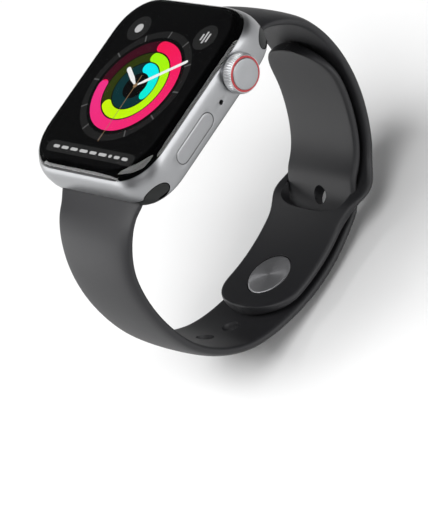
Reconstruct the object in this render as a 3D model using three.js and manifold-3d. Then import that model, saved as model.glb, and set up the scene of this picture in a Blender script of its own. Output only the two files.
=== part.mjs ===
// A wrist smartwatch: a rounded aluminium case with a curved glass front, a rotating and pressing crown,
// a side button, and a pin-and-tuck rubber strap that slides out of two channels at the case's ends.
//
// Millimetres. +Z points out of the display, +Y to twelve o'clock and +X to the crown side.
// The origin is the middle of the flat on the rear crystal, which rests on the wrist.
import * as THREE from 'three';
import { mergeVertices } from 'three/addons/utils/BufferGeometryUtils.js';
import Module from 'manifold-3d';

const wasm = await Module();
wasm.setup();

// Driving dimensions -----------------------------------------------------------------------------
const CASE_HALF_WIDTH = 19;
const CASE_HALF_LENGTH = 22;
const CASE_CORNER = 8.4;
const CORNER_POWER = 2.3;
const CORNER_STEPS = 6;
const GLASS_TOP = 10.7;

// The case's outline by height: [height, side inset, end inset, corner radius].
const BODY_LEVELS = [
  [1.0, 2.4, 3.0, 7.3],
  [1.08, 1.5, 1.9, 7.6],
  [1.3, 0.85, 1.1, 7.9],
  [1.8, 0.42, 0.55, 8.1],
  [2.8, 0.15, 0.2, 8.3],
  [4.6, 0, 0, CASE_CORNER],
  [6.4, 0, 0.05, 8.5],
  [7.8, 0.14, 0.35, 8.8],
  [8.85, 0.42, 0.84, 9.1],
];
const GLASS_LEVELS = [
  [8.9, 0.45, 0.88, 9.1],
  [9.5, 0.7, 1.15, 9.2],
  [10.05, 1.15, 1.65, 9.3],
  [10.4, 1.85, 2.45, 9.3],
  [10.62, 2.95, 3.7, 9.1],
  [GLASS_TOP, 4.7, 5.9, 8.6],
];

// Rounded rectangles are given as [half width, half length, corner radius].
const LOWER_CAVITY = [17, 15.7, 4.5];
const UPPER_CAVITY = [17, 20, 8];
const CAVITY_FLOOR = 2.2;
const CAVITY_STEP = 6.1;
const GLASS_REBATE = [17.75, 20.6, 8.7];
const DISPLAY_LEDGE = 8.4;
const GASKET_Z = [8.43, 8.87];
const DISPLAY_ROOM = [17.2, 20.1, 8.2];
const DISPLAY = [16.9, 19.8, 7.9];
const DISPLAY_Z = [9.0, 9.62];

const REAR_OPENING = [15.7, 15.0, 12.6];
const REAR_LEDGE = [14.6, 13.9, 11.6];
const REAR_LEDGE_Z = 1.75;
const REAR_COVER = [15.55, 14.85, 12.45];
const CRYSTAL_HOLE_RADIUS = 12.6;

const BOSS_X = 14.2;
const BOSS_Y = 14.0;
const BOSS_RADIUS = 1.4;
const SCREW_HOLE_RADIUS = 0.6;
const BOARD_BOTTOM = 6.75;
const BOARD_TOP = 7.35;

// Band channel: an oval groove across each end of the case, with a slot where the strap leaves it.
const CHANNEL_Y = 18.8;
const CHANNEL_Z = 3.6;
const CHANNEL_RADII = [2.3, 1.8];
const LUG_RADII = [2.1, 1.6];
const SLOT_ANGLE = THREE.MathUtils.degToRad(28);
const SLOT_HALF = 1.25;
const NECK_HALF = 1.05;
const LUG_FLAT_Z = 2.5;
const LUG_FLAT_END = 19.3;
const STRAP_START = 2.23;

const CROWN_Y = 9.2;
const CROWN_Z = 5.2;
// Only the crown's narrower neck enters the pocket; its head clears the case even when pressed.
const CROWN_RADIUS = 4.02;
const CROWN_NECK_RADIUS = 3.4;
const CROWN_NECK_X = 19.3;
const CROWN_POCKET_RADIUS = 3.52;
const CROWN_TEETH = 48;
const TOOTH_DEPTH = 0.28;
const CROWN_BASE_X = 18.55;
const CROWN_FRONT_X = 21.35;
const CROWN_POCKET_X = 18.2;
const SHAFT_RADIUS = 1.2;
const BUSHING_BORE_RADIUS = 2.05;
const CAP_SEAT_X = 20.8;

const BUTTON_Y = -6.4;
const BUTTON_Z = 4.75;
const BUTTON_HALF = 5.75;
const BUTTON_RADIUS = 1.6;
const BUTTON_GAP = 0.12;
const BUTTON_BACK_X = 17.95;
const PLUNGER_BACK_X = 15.55;

const MIC_Y = 2.55;
const MIC_Z = 4.45;
const MIC_RADIUS = 0.5;

const SPEAKER_SLOT_HALF = 3.4;
const SPEAKER_SLOT_RADIUS = 0.6;
const SPEAKER_SLOT_Y = 4.2;
const SPEAKER_SLOT_Z = 5.0;

// The vibration unit sits across the lower end of the case.
const HAPTIC_Y = -12.25;
const HAPTIC_SPRING_X = [8.45, 11.5];

const RELEASE_Y = 18.1;
const RELEASE_HALF = 2.6;
const RELEASE_RADIUS = 0.75;
const RELEASE_Z = [1.1, 1.7];
const LATCH_PIN_RADIUS = 0.6;
const LATCH_SPRING_Z = [3.55, 4.65];

// The inner face of the closed strap's outer layer, [y, z], from the lower lug round to the upper one.
const LOOP = [
  [-20.28, 1.63],
  [-25.9, -1.35],
  [-31.1, -7.9],
  [-33.6, -18.5],
  [-31.9, -30.5],
  [-24.8, -39.8],
  [-12.5, -44.9],
  [0, -45.9],
  [11.5, -43.6],
  [21.4, -38.8],
  [28.6, -28.2],
  [31.2, -17.0],
  [29.8, -7.8],
  [24.75, -1.15],
  [20.28, 1.63],
];
const STRAP_THICK = 2.5;
const NECK_THICK = 2.1;
const LAYER_STEP = 2.85;
const LUG_WIDTH = 24;
const STRAP_WIDTH = 21.4;
const TAIL_WIDTH = 20.8;
const SHORT_WIDTH = 22;
const KEEPER_WIDTH = 26;
const TAPER_LENGTH = 17;
// How much further out each edge of the strap lies at the lug, and the length over which that fades.
const FLARE = 0.8;
const FLARE_LENGTH = 4;
// Where along the strap its thickness grows from the slot's to the full one.
const THICKENING = [2.4, 9];
const CROSSING_Y = [9.5, 18.5];
const KEEPER_REACH = 9;
const PIN_Y = -8.0;
const TIP_Y = -18;
const TAIL_Z = -15;
const HOLE_PITCH = 7.2;
const HOLE_RADIUS = 1.75;
const SLOT_GAP = 0.25;
const MOUTH_HALF_ALONG = 5.2;
const MOUTH_INTO_TAIL = 1.2;
const HOLE_WALK = 0.1;
const SLOT_SIDE_GAP = 0.08;
const SLOT_SHOULDER = { height: 1.5, inset: 2.1 };
const MOUTH_SQUARENESS = 3.2;
const LONG_END_LENGTH = 9;
const SHORT_END_LENGTH = 8;
const PIN_RADIUS = 1.5;
const DISC_RADIUS = 5.05;

// Materials --------------------------------------------------------------------------------------
function material(color, roughness, metalness) {
  return new THREE.MeshStandardMaterial({ color, roughness, metalness });
}

const ALUMINIUM = [0xb9bbbd, 0.32, 1];
const BLACK_GLASS = [0x050506, 0.05, 0];
const RUBBER = [0x333435, 0.75, 0];
const STEEL = [0x8d8f92, 0.3, 1];
const BLACK_PLASTIC = [0x161618, 0.5, 0];
const RED = [0xb01f22, 0.4, 0];
const COPPER = [0xb36b3c, 0.35, 1];
const BOARD = [0x14231b, 0.6, 0];
const SEAL = [0x0d0d0e, 0.85, 0];

// Solids -----------------------------------------------------------------------------------------
function toSolid(geometry) {
  const bare = geometry.index ? geometry.toNonIndexed() : geometry.clone();
  bare.deleteAttribute('normal');
  bare.deleteAttribute('uv');
  const merged = mergeVertices(bare, 1e-4);
  return new wasm.Manifold(new wasm.Mesh({
    numProp: 3,
    vertProperties: new Float32Array(merged.attributes.position.array),
    triVerts: new Uint32Array(merged.index.array),
  }));
}

function toGeometry(solid) {
  const mesh = solid.getMesh();
  const geometry = new THREE.BufferGeometry();
  geometry.setAttribute('position', new THREE.BufferAttribute(mesh.vertProperties, 3));
  geometry.setIndex(new THREE.BufferAttribute(mesh.triVerts, 1));
  geometry.computeVertexNormals();
  return geometry;
}

function cut(base, tools) {
  return tools.reduce((solid, tool) => solid.subtract(toSolid(tool)), toSolid(base));
}

// A closed skin through rings of equal point count, capped with a fan at each end.
function loft(rings) {
  const count = rings[0].length;
  const positions = rings.flat().flatMap((point) => [point.x, point.y, point.z]);
  const index = [];
  for (let ring = 0; ring < rings.length - 1; ring += 1) {
    for (let i = 0; i < count; i += 1) {
      const a = ring * count + i;
      const b = ring * count + (i + 1) % count;
      index.push(a, b, b + count, a, b + count, a + count);
    }
  }
  for (const [ring, flip] of [[0, true], [rings.length - 1, false]]) {
    const centre = new THREE.Vector3();
    rings[ring].forEach((point) => centre.addScaledVector(point, 1 / count));
    const hub = positions.length / 3;
    positions.push(centre.x, centre.y, centre.z);
    for (let i = 0; i < count; i += 1) {
      const a = ring * count + i;
      const b = ring * count + (i + 1) % count;
      index.push(...(flip ? [hub, b, a] : [hub, a, b]));
    }
  }
  const geometry = new THREE.BufferGeometry();
  geometry.setAttribute('position', new THREE.Float32BufferAttribute(positions, 3));
  geometry.setIndex(index);
  geometry.computeVertexNormals();
  return geometry;
}

// A rounded rectangle whose corners are soft superellipse quarters.
function outline(halfX, halfY, radius, z) {
  const points = [];
  for (const [sx, sy, start] of [[1, 1, 0], [-1, 1, 90], [-1, -1, 180], [1, -1, 270]]) {
    for (let i = 0; i <= CORNER_STEPS; i += 1) {
      const angle = THREE.MathUtils.degToRad(start + (90 * i) / CORNER_STEPS);
      const c = Math.cos(angle);
      const s = Math.sin(angle);
      const reach = radius * (Math.abs(c) ** CORNER_POWER + Math.abs(s) ** CORNER_POWER)
        ** (-1 / CORNER_POWER);
      points.push(new THREE.Vector3(
        sx * (halfX - radius) + c * reach,
        sy * (halfY - radius) + s * reach,
        z,
      ));
    }
  }
  return points;
}

function slab([halfX, halfY, radius], z0, z1) {
  return loft([outline(halfX, halfY, radius, z0), outline(halfX, halfY, radius, z1)]);
}

function levelStack(levels, grow = 0) {
  return loft(levels.map(([z, sideInset, endInset, radius]) => outline(
    CASE_HALF_WIDTH - sideInset + grow,
    CASE_HALF_LENGTH - endInset + grow,
    radius + grow,
    z,
  )));
}

function box(x0, x1, y0, y1, z0, z1) {
  const geometry = new THREE.BoxGeometry(x1 - x0, y1 - y0, z1 - z0);
  return geometry.translate((x0 + x1) / 2, (y0 + y1) / 2, (z0 + z1) / 2);
}

function rodX(radius, x0, x1, y, z, sides = 20) {
  const geometry = new THREE.CylinderGeometry(radius, radius, x1 - x0, sides);
  return geometry.rotateZ(Math.PI / 2).translate((x0 + x1) / 2, y, z);
}

function rodZ(radius, z0, z1, x, y, sides = 20) {
  const geometry = new THREE.CylinderGeometry(radius, radius, z1 - z0, sides);
  return geometry.rotateX(Math.PI / 2).translate(x, y, (z0 + z1) / 2);
}

function ovalRodX([radiusY, radiusZ], halfX, y, z) {
  const geometry = new THREE.CylinderGeometry(1, 1, halfX * 2, 20);
  return geometry.rotateZ(Math.PI / 2).scale(1, radiusY, radiusZ).translate(0, y, z);
}

// A stadium-shaped bar: its long side runs along Y, and it is extruded from x0 to x1.
function stadiumX(halfLength, radius, x0, x1, y, z) {
  const shape = new THREE.Shape();
  const straight = halfLength - radius;
  shape.absarc(straight, 0, radius, -Math.PI / 2, Math.PI / 2);
  shape.absarc(-straight, 0, radius, Math.PI / 2, (3 * Math.PI) / 2);
  const geometry = new THREE.ExtrudeGeometry(shape, {
    depth: x1 - x0, bevelEnabled: false, curveSegments: 7,
  });
  geometry.rotateX(Math.PI / 2).rotateZ(Math.PI / 2);
  geometry.computeBoundingBox();
  const middle = geometry.boundingBox.getCenter(new THREE.Vector3());
  return geometry.translate((x0 + x1) / 2 - middle.x, y - middle.y, z - middle.z);
}

// The same bar with its long side along X, extruded from z0 to z1.
function stadiumZ(halfLength, radius, z0, z1, x, y) {
  const shape = new THREE.Shape();
  const straight = halfLength - radius;
  shape.absarc(straight, 0, radius, -Math.PI / 2, Math.PI / 2);
  shape.absarc(-straight, 0, radius, Math.PI / 2, (3 * Math.PI) / 2);
  const geometry = new THREE.ExtrudeGeometry(shape, {
    depth: z1 - z0, bevelEnabled: false, curveSegments: 6,
  });
  return geometry.translate(x, y, z0);
}

// A turned ring or solid about Z from closed [radius, z] points.
function turned(profile, sides = 24) {
  const points = profile.map(([radius, z]) => new THREE.Vector2(radius, z));
  return new THREE.LatheGeometry(points, sides).rotateX(Math.PI / 2);
}

function washer(inner, outer, z0, z1, sides = 24) {
  return turned([[inner, z0], [outer, z0], [outer, z1], [inner, z1], [inner, z0]], sides);
}

// The same about X, for the crown: profile points are [radius, x].
function turnedX(profile, sides = 24) {
  return turned(profile, sides).rotateY(Math.PI / 2);
}

// Scene ------------------------------------------------------------------------------------------
const watch = new THREE.Group();

function add(parent, name, shape, look, position = [0, 0, 0]) {
  const geometry = shape.isBufferGeometry ? toGeometry(toSolid(shape)) : toGeometry(shape);
  geometry.translate(-position[0], -position[1], -position[2]);
  const mesh = new THREE.Mesh(geometry, material(...look));
  mesh.name = name;
  mesh.position.set(...position);
  parent.add(mesh);
}

// Case -------------------------------------------------------------------------------------------
// The outward direction of the band slot at an end of the case: side is -1 below and +1 above.
function slotFrame(side) {
  return {
    axis: new THREE.Vector2(side * CHANNEL_Y, CHANNEL_Z),
    out: new THREE.Vector2(side * Math.cos(SLOT_ANGLE), -Math.sin(SLOT_ANGLE)),
    up: new THREE.Vector2(side * Math.sin(SLOT_ANGLE), Math.cos(SLOT_ANGLE)),
  };
}

// A bar along X whose section is a rectangle in the slot's own directions.
function slotBar(side, halfX, from, to, low, high) {
  const { axis, out, up } = slotFrame(side);
  const corners = [[from, low], [to, low], [to, high], [from, high]];
  const ring = (x) => corners.map(([along, across]) => new THREE.Vector3(
    x,
    axis.x + out.x * along + up.x * across,
    axis.y + out.y * along + up.y * across,
  ));
  return side < 0 ? loft([ring(halfX), ring(-halfX)]) : loft([ring(-halfX), ring(halfX)]);
}

function caseHousing() {
  const bosses = [];
  for (const sx of [-1, 1]) {
    for (const sy of [-1, 1]) {
      const at = [sx * BOSS_X, sy * BOSS_Y];
      bosses.push(rodZ(BOSS_RADIUS, CAVITY_FLOOR - 0.2, BOARD_BOTTOM - 0.05, ...at, 12));
    }
  }
  let shell = cut(levelStack(BODY_LEVELS), [
    slab(LOWER_CAVITY, CAVITY_FLOOR, CAVITY_STEP + 0.1),
    slab(UPPER_CAVITY, CAVITY_STEP, DISPLAY_LEDGE + 0.1),
    slab(GLASS_REBATE, DISPLAY_LEDGE, GLASS_TOP),
    slab(REAR_OPENING, 0, REAR_LEDGE_Z),
    slab(REAR_LEDGE, 1, CAVITY_FLOOR + 0.1),
  ]);
  for (const boss of bosses) {
    shell = shell.add(toSolid(boss));
  }
  const openings = [
    rodX(CROWN_POCKET_RADIUS, CROWN_POCKET_X, 22, CROWN_Y, CROWN_Z, 36),
    rodX(BUSHING_BORE_RADIUS, 15, 19, CROWN_Y, CROWN_Z),
    stadiumX(BUTTON_HALF + BUTTON_GAP, BUTTON_RADIUS + BUTTON_GAP, 17.55, 20, BUTTON_Y, BUTTON_Z),
    rodX(1.0, 16, 18, BUTTON_Y, BUTTON_Z, 14),
    rodX(MIC_RADIUS, 16, 20, MIC_Y, MIC_Z, 12),
  ];
  for (const side of [-1, 1]) {
    const speakerY = side * SPEAKER_SLOT_Y;
    openings.push(stadiumX(SPEAKER_SLOT_HALF, SPEAKER_SLOT_RADIUS, -20, -16, speakerY, SPEAKER_SLOT_Z));
    openings.push(ovalRodX(CHANNEL_RADII, 22, side * CHANNEL_Y, CHANNEL_Z));
    openings.push(slotBar(side, 22, 0, 8, -SLOT_HALF, SLOT_HALF));
    openings.push(stadiumZ(RELEASE_HALF + 0.1, RELEASE_RADIUS + 0.1, 0.5, 3, 0, side * RELEASE_Y));
    for (const sx of [-1, 1]) {
      openings.push(rodZ(SCREW_HOLE_RADIUS, 4.9, 7, sx * BOSS_X, side * BOSS_Y, 8));
    }
  }
  return openings.reduce((solid, tool) => solid.subtract(toSolid(tool)), shell);
}

function buildFront(parent) {
  const glass = cut(levelStack(GLASS_LEVELS), [slab(DISPLAY_ROOM, DISPLAY_LEDGE, 9.7)]);
  add(parent, 'front_crystal', glass, BLACK_GLASS, [0, 0, GLASS_LEVELS[0][0]]);
  add(parent, 'display_panel', slab(DISPLAY, ...DISPLAY_Z), [0x060607, 0.3, 0], [0, 0, DISPLAY_Z[0]]);
  const gasket = cut(slab([17.65, 20.5, 8.6], ...GASKET_Z), [slab([17.1, 20.05, 8.1], 8, 10)]);
  add(parent, 'display_gasket', gasket, SEAL, [0, 0, GASKET_Z[0]]);
}

function buildRear(parent) {
  const cover = cut(slab(REAR_COVER, 0.8, 1.5), [rodZ(CRYSTAL_HOLE_RADIUS, 0, 3, 0, 0, 36)]);
  add(parent, 'rear_cover', cover, [0x101113, 0.25, 0], [0, 0, 0.8]);
  const gasket = cut(slab([15.4, 14.7, 12.3], 1.52, 1.73), [slab([14.75, 14.05, 11.7], 1, 2)]);
  add(parent, 'rear_gasket', gasket, SEAL, [0, 0, 1.52]);
  const crystal = turned([
    [0, 0], [5, 0], [8.2, 0.18], [10.6, 0.55], [12.1, 1.05], [12.4, 1.5],
    [11.6, 1.5], [10.4, 1.2], [8, 0.95], [5, 0.8], [0, 0.78],
  ], 36);
  add(parent, 'rear_crystal', crystal, [0x1b1c20, 0.04, 0]);
  add(parent, 'optical_sensor', rodZ(3.3, 0.84, 1.6, 0, 0, 20), [0x222a26, 0.2, 0], [0, 0, 0.84]);
  add(parent, 'charging_coil', washer(3.8, 7.4, 1.02, 1.6), COPPER, [0, 0, 1.02]);
  add(parent, 'alignment_magnet', washer(7.8, 9.2, 1.22, 1.65), STEEL, [0, 0, 1.22]);
  add(parent, 'ferrite_shield', washer(3.6, 10.5, 1.7, 1.95), [0x2a2826, 0.8, 0], [0, 0, 1.7]);
  add(parent, 'sensor_board', rodZ(11, 2.0, 2.4, 0, 0, 28), BOARD, [0, 0, 2]);
}

function screwGeometry() {
  return turned([
    [0, -2.05], [0.35, -2.05], [0.5, -1.85], [0.5, 0.04],
    [0.92, 0.04], [0.92, 0.4], [0.7, 0.55], [0, 0.55],
  ], 10);
}

function buildElectronics(parent) {
  add(parent, 'battery', box(-6.6, 11.3, -8.8, 15.1, 2.7, 6.3), [0x1c1d20, 0.45, 0], [2.35, 3.15, 2.7]);
  const holes = [];
  for (const sx of [-1, 1]) {
    for (const sy of [-1, 1]) {
      holes.push(rodZ(SCREW_HOLE_RADIUS, 6, 8, sx * BOSS_X, sy * BOSS_Y, 10));
    }
  }
  const crownNotch = box(12.2, 20, CROWN_Y - 3, CROWN_Y + 3.1, 6, 8);
  const board = cut(slab([16, 16.4, 4], BOARD_BOTTOM, BOARD_TOP), [...holes, crownNotch]);
  add(parent, 'main_board', board, BOARD, [0, 0, BOARD_BOTTOM]);
  add(parent, 'system_package', slab([11, 12, 1.5], BOARD_TOP + 0.02, 8.6), STEEL, [0, 0, BOARD_TOP]);
  const corners = [[-1, -1], [1, -1], [1, 1], [-1, 1]];
  corners.forEach(([sx, sy], i) => {
    const at = [sx * BOSS_X, sy * BOSS_Y, BOARD_TOP];
    add(parent, `board_screw_${i + 1}`, screwGeometry().translate(...at), STEEL, at);
  });
  add(parent, 'speaker_module', box(-16.7, -7.2, -8.5, 8.5, 2.7, 6.3), BLACK_PLASTIC, [-12, 0, 2.7]);
  add(parent, 'speaker_mesh', box(-16.95, -16.75, -8.2, 8.2, 4.1, 5.9), STEEL, [-16.85, 0, 5]);
  const microphone = box(15.4, 16.7, MIC_Y - 1.2, MIC_Y + 1.2, MIC_Z - 0.9, MIC_Z + 0.9);
  add(parent, 'microphone', microphone, STEEL, [16, MIC_Y, MIC_Z]);
  add(parent, 'microphone_mesh', rodX(0.8, 16.75, 16.95, MIC_Y, MIC_Z, 12), BLACK_PLASTIC,
    [16.85, MIC_Y, MIC_Z]);
}

function leafSpring(x0, x1) {
  const y0 = -14.2;
  const y1 = -10.3;
  const shape = new THREE.Shape();
  const folds = 3;
  const step = (x1 - x0) / (folds * 2);
  const thick = 0.22;
  const upper = [];
  const lower = [];
  for (let i = 0; i <= folds * 2; i += 1) {
    const x = x0 + i * step;
    const y = i % 2 ? y1 : y0;
    upper.push([x, y + thick]);
    lower.push([x, y - thick]);
  }
  const points = [...upper, ...lower.reverse()];
  points.forEach(([x, y], i) => (i ? shape.lineTo(x, y) : shape.moveTo(x, y)));
  shape.closePath();
  const geometry = new THREE.ExtrudeGeometry(shape, { depth: 1.9, bevelEnabled: false });
  return geometry.translate(0, 0, 3.6);
}

function buildHaptic(parent) {
  const tray = cut(box(-12.2, 12.2, -15.3, -9.2, 2.5, 6.0), [
    box(-11.85, 11.85, -14.95, -9.55, 2.85, 7),
  ]);
  add(parent, 'haptic_tray', tray, STEEL, [0, HAPTIC_Y, 2.5]);
  const coil = cut(stadiumZ(4.5, 1.8, 2.9, 3.3, 0, HAPTIC_Y), [stadiumZ(3.2, 0.7, 2, 4, 0, HAPTIC_Y)]);
  add(parent, 'haptic_coil', coil, COPPER, [0, HAPTIC_Y, 2.9]);
  const mass = box(-8.1, 8.1, -14.7, -9.8, 3.45, 5.8);
  add(parent, 'haptic_mass', mass, [0x6d6e72, 0.35, 1], [0, HAPTIC_Y, 3.45]);
  const [springNear, springFar] = HAPTIC_SPRING_X;
  add(parent, 'haptic_spring_left', leafSpring(-springFar, -springNear), STEEL, [-10, HAPTIC_Y, 3.6]);
  add(parent, 'haptic_spring_right', leafSpring(springNear, springFar), STEEL, [10, HAPTIC_Y, 3.6]);
  const lid = box(-12.2, 12.2, -15.3, -9.2, 6.03, 6.25);
  add(parent, 'haptic_lid', lid, STEEL, [0, HAPTIC_Y, 6.03]);
}

// Crown ------------------------------------------------------------------------------------------
function crownWheel() {
  const shape = new THREE.Shape();
  for (let i = 0; i < CROWN_TEETH; i += 1) {
    [[0, 0], [0.5, 0], [0.75, TOOTH_DEPTH]].forEach(([part, sink]) => {
      const angle = ((i + part) / CROWN_TEETH) * Math.PI * 2;
      const radius = CROWN_RADIUS - sink;
      const point = [Math.cos(angle) * radius, Math.sin(angle) * radius];
      if (i === 0 && part === 0) {
        shape.moveTo(...point);
      } else {
        shape.lineTo(...point);
      }
    });
  }
  shape.closePath();
  const toothed = new THREE.ExtrudeGeometry(shape, {
    depth: CROWN_FRONT_X - CROWN_BASE_X, bevelEnabled: false,
  });
  toothed.rotateY(Math.PI / 2).translate(CROWN_BASE_X, 0, 0);
  const blank = turnedX([
    [0, CROWN_BASE_X], [CROWN_NECK_RADIUS, CROWN_BASE_X], [CROWN_NECK_RADIUS, CROWN_NECK_X],
    [3.88, CROWN_NECK_X + 0.08], [CROWN_RADIUS, CROWN_NECK_X + 0.25],
    [CROWN_RADIUS, 20.5], [3.86, 20.9], [3.62, CROWN_FRONT_X], [0, CROWN_FRONT_X],
  ], 32);
  const tools = [rodX(3.52, CAP_SEAT_X - 0.05, 22, 0, 0, 32), rodX(1.25, 18, 21, 0, 0, 16)];
  return tools.reduce(
    (solid, tool) => solid.subtract(toSolid(tool)),
    toSolid(toothed).intersect(toSolid(blank)),
  );
}

function buildCrown() {
  const crown = new THREE.Group();
  crown.position.set(0, CROWN_Y, CROWN_Z);
  const shaft = turnedX([
    [0, 12.85], [SHAFT_RADIUS, 12.85], [SHAFT_RADIUS, 13.8], [1.6, 13.8], [1.6, 15.5],
    [SHAFT_RADIUS, 15.5], [SHAFT_RADIUS, 17.0], [0.95, 17.0], [0.95, 17.5],
    [SHAFT_RADIUS, 17.5], [SHAFT_RADIUS, 20.7], [0, 20.7],
  ], 16);
  add(crown, 'crown_shaft', shaft, STEEL, [12.85, 0, 0]);
  add(crown, 'crown_wheel', crownWheel(), ALUMINIUM, [CROWN_BASE_X, 0, 0]);
  const ring = turnedX([
    [3.13, CAP_SEAT_X], [3.48, CAP_SEAT_X], [3.48, 21.42], [3.13, 21.48], [3.13, CAP_SEAT_X],
  ], 32);
  add(crown, 'crown_ring', ring, RED, [CAP_SEAT_X, 0, 0]);
  const face = turnedX([
    [0, CAP_SEAT_X], [3.08, CAP_SEAT_X], [3.08, 21.45], [2.9, 21.6], [0, 21.6],
  ], 32);
  add(crown, 'crown_face', face, [0x97999c, 0.35, 1], [CAP_SEAT_X, 0, 0]);
  const oRing = turnedX([
    [0.98, 17.04], [1.26, 17.04], [1.26, 17.46], [0.98, 17.46], [0.98, 17.04],
  ], 16);
  add(crown, 'crown_o_ring', oRing, SEAL, [17.04, 0, 0]);
  const bushing = turnedX([
    [1.3, 16.2], [2.6, 16.2], [2.6, 16.9], [2.0, 16.9], [2.0, 18.1], [1.3, 18.1], [1.3, 16.2],
  ], 20);
  add(crown, 'crown_bushing', bushing, STEEL, [16.2, 0, 0]);
  add(crown, 'crown_shear_plate', box(12.4, 12.68, -1.5, 1.5, -1.4, 1.4), STEEL, [12.4, 0, 0]);
  add(crown, 'crown_switch', box(11.5, 12.1, -1.8, 1.8, -1.6, 1.3), BLACK_PLASTIC, [11.5, 0, 0]);
  add(crown, 'crown_encoder', box(13.6, 15.4, 1.85, 2.9, -1.1, 1.1), BLACK_PLASTIC, [13.6, 2.4, 0]);
  return crown;
}

function buildSideButton(parent) {
  const blank = stadiumX(BUTTON_HALF, BUTTON_RADIUS, BUTTON_BACK_X, 20, BUTTON_Y, BUTTON_Z);
  const cap = toSolid(blank).intersect(toSolid(levelStack(BODY_LEVELS, 0.02)));
  add(parent, 'side_button_cap', cap, ALUMINIUM, [BUTTON_BACK_X, BUTTON_Y, BUTTON_Z]);
  const plunger = rodX(0.65, PLUNGER_BACK_X, BUTTON_BACK_X - 0.02, BUTTON_Y, BUTTON_Z, 12);
  add(parent, 'side_button_plunger', plunger, STEEL, [PLUNGER_BACK_X, BUTTON_Y, BUTTON_Z]);
  const seal = turnedX([
    [0.68, 17.05], [0.96, 17.05], [0.96, 17.48], [0.68, 17.48], [0.68, 17.05],
  ], 14);
  seal.translate(0, BUTTON_Y, BUTTON_Z);
  add(parent, 'side_button_seal', seal, SEAL, [17.05, BUTTON_Y, BUTTON_Z]);
  const body = box(14.5, 15.2, BUTTON_Y - 2, BUTTON_Y + 2, BUTTON_Z - 1.2, BUTTON_Z + 1.2);
  add(parent, 'side_button_switch', body, BLACK_PLASTIC, [14.5, BUTTON_Y, BUTTON_Z]);
}

function buildReleaseButtons(parent) {
  for (const [name, side] of [['lower', -1], ['upper', 1]]) {
    const pill = stadiumZ(RELEASE_HALF, RELEASE_RADIUS, ...RELEASE_Z, 0, side * RELEASE_Y);
    add(parent, `band_release_${name}`, pill, ALUMINIUM, [0, side * RELEASE_Y, RELEASE_Z[0]]);
  }
}

// Lugs -------------------------------------------------------------------------------------------
function lug(side) {
  const barrel = toSolid(ovalRodX(LUG_RADII, 21, side * CHANNEL_Y, CHANNEL_Z));
  const neck = toSolid(slotBar(side, 21, 0, 7, -NECK_HALF, NECK_HALF));
  const pocket = toSolid(slotBar(side, LUG_WIDTH / 2 + FLARE + 0.3, STRAP_START - 0.3, 9, -2, 2));
  const inner = side < 0 ? [-LUG_FLAT_END, -14] : [14, LUG_FLAT_END];
  const flat = toSolid(box(-22, 22, ...inner, 0, LUG_FLAT_Z));
  const bore = toSolid(rodZ(0.7, 2, 4.7, 0, side * RELEASE_Y, 12));
  const skin = toSolid(levelStack(BODY_LEVELS, -0.12));
  return barrel.add(neck).intersect(skin).subtract(pocket).subtract(flat).subtract(bore);
}

function buildLugs(parent) {
  for (const [name, side] of [['lower', -1], ['upper', 1]]) {
    add(parent, `lug_${name}`, lug(side), [0x2c2d2e, 0.6, 0], [0, side * CHANNEL_Y, CHANNEL_Z]);
    const pin = rodZ(LATCH_PIN_RADIUS, LUG_FLAT_Z + 0.05, 3.5, 0, side * RELEASE_Y, 12);
    add(parent, `latch_pin_${name}`, pin, STEEL, [0, side * RELEASE_Y, LUG_FLAT_Z]);
    const spring = washer(0.3, 0.55, ...LATCH_SPRING_Z, 10).translate(0, side * RELEASE_Y, 0);
    add(parent, `latch_spring_${name}`, spring, STEEL, [0, side * RELEASE_Y, LATCH_SPRING_Z[0]]);
  }
}

// Strap ------------------------------------------------------------------------------------------
const loopCurve = new THREE.CatmullRomCurve3(
  LOOP.map(([y, z]) => new THREE.Vector3(0, y, z)),
  false,
  'centripetal',
);
loopCurve.arcLengthDivisions = 1500;
const LOOP_LENGTH = loopCurve.getLength();

function loopFrame(distance) {
  const u = THREE.MathUtils.clamp(distance / LOOP_LENGTH, 0, 1);
  const point = loopCurve.getPointAt(u);
  const tangent = loopCurve.getTangentAt(u);
  return { point, out: new THREE.Vector3(0, tangent.z, -tangent.y) };
}

// The distance along the loop at which a test on its point first holds.
function distanceWhere(test, from = 0) {
  let distance = from;
  while (distance < LOOP_LENGTH && !test(loopFrame(distance).point)) {
    distance += 0.05;
  }
  return distance;
}

const pastLeft = distanceWhere((point) => point.z < -44);
const CROSS_START = distanceWhere((point) => point.y > CROSSING_Y[0], pastLeft);
const CROSS_END = distanceWhere((point) => point.y > CROSSING_Y[1], pastLeft);
const PIN_AT = distanceWhere((point) => point.y > PIN_Y, pastLeft);
const TIP_AT = distanceWhere((point) => point.y > TIP_Y, pastLeft - 10);
const TAIL_AT = distanceWhere((point) => point.z > TAIL_Z, CROSS_END);

// How far the long half has gone from the outer layer (0) to the inner one (1).
function crossing(distance) {
  return THREE.MathUtils.smootherstep(distance, CROSS_START, CROSS_END);
}

// Half of the strap's section, [share of the half width, share of the thickness], inner face first.
const SECTION = [[0, 0], [0.95, 0], [1, 0.25], [0.97, 0.58], [0.8, 0.82], [0, 1]];

function sectionRing(distance, width, offset, thick) {
  const { point, out } = loopFrame(distance);
  const right = SECTION.map(([across, up]) => [across * width / 2, offset + up * thick]);
  const left = right.slice(1, -1).map(([x, depth]) => [-x, depth]).reverse();
  return [...right, ...left].map(
    ([x, depth]) => point.clone().addScaledVector(out, depth).setX(x),
  );
}

// The rounded end of a strap: its width share at a distance from the very end.
function roundEnd(toEnd, length) {
  const part = THREE.MathUtils.clamp(1 - toEnd / length, 0, 0.985);
  return Math.sqrt(1 - part * part);
}

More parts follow.
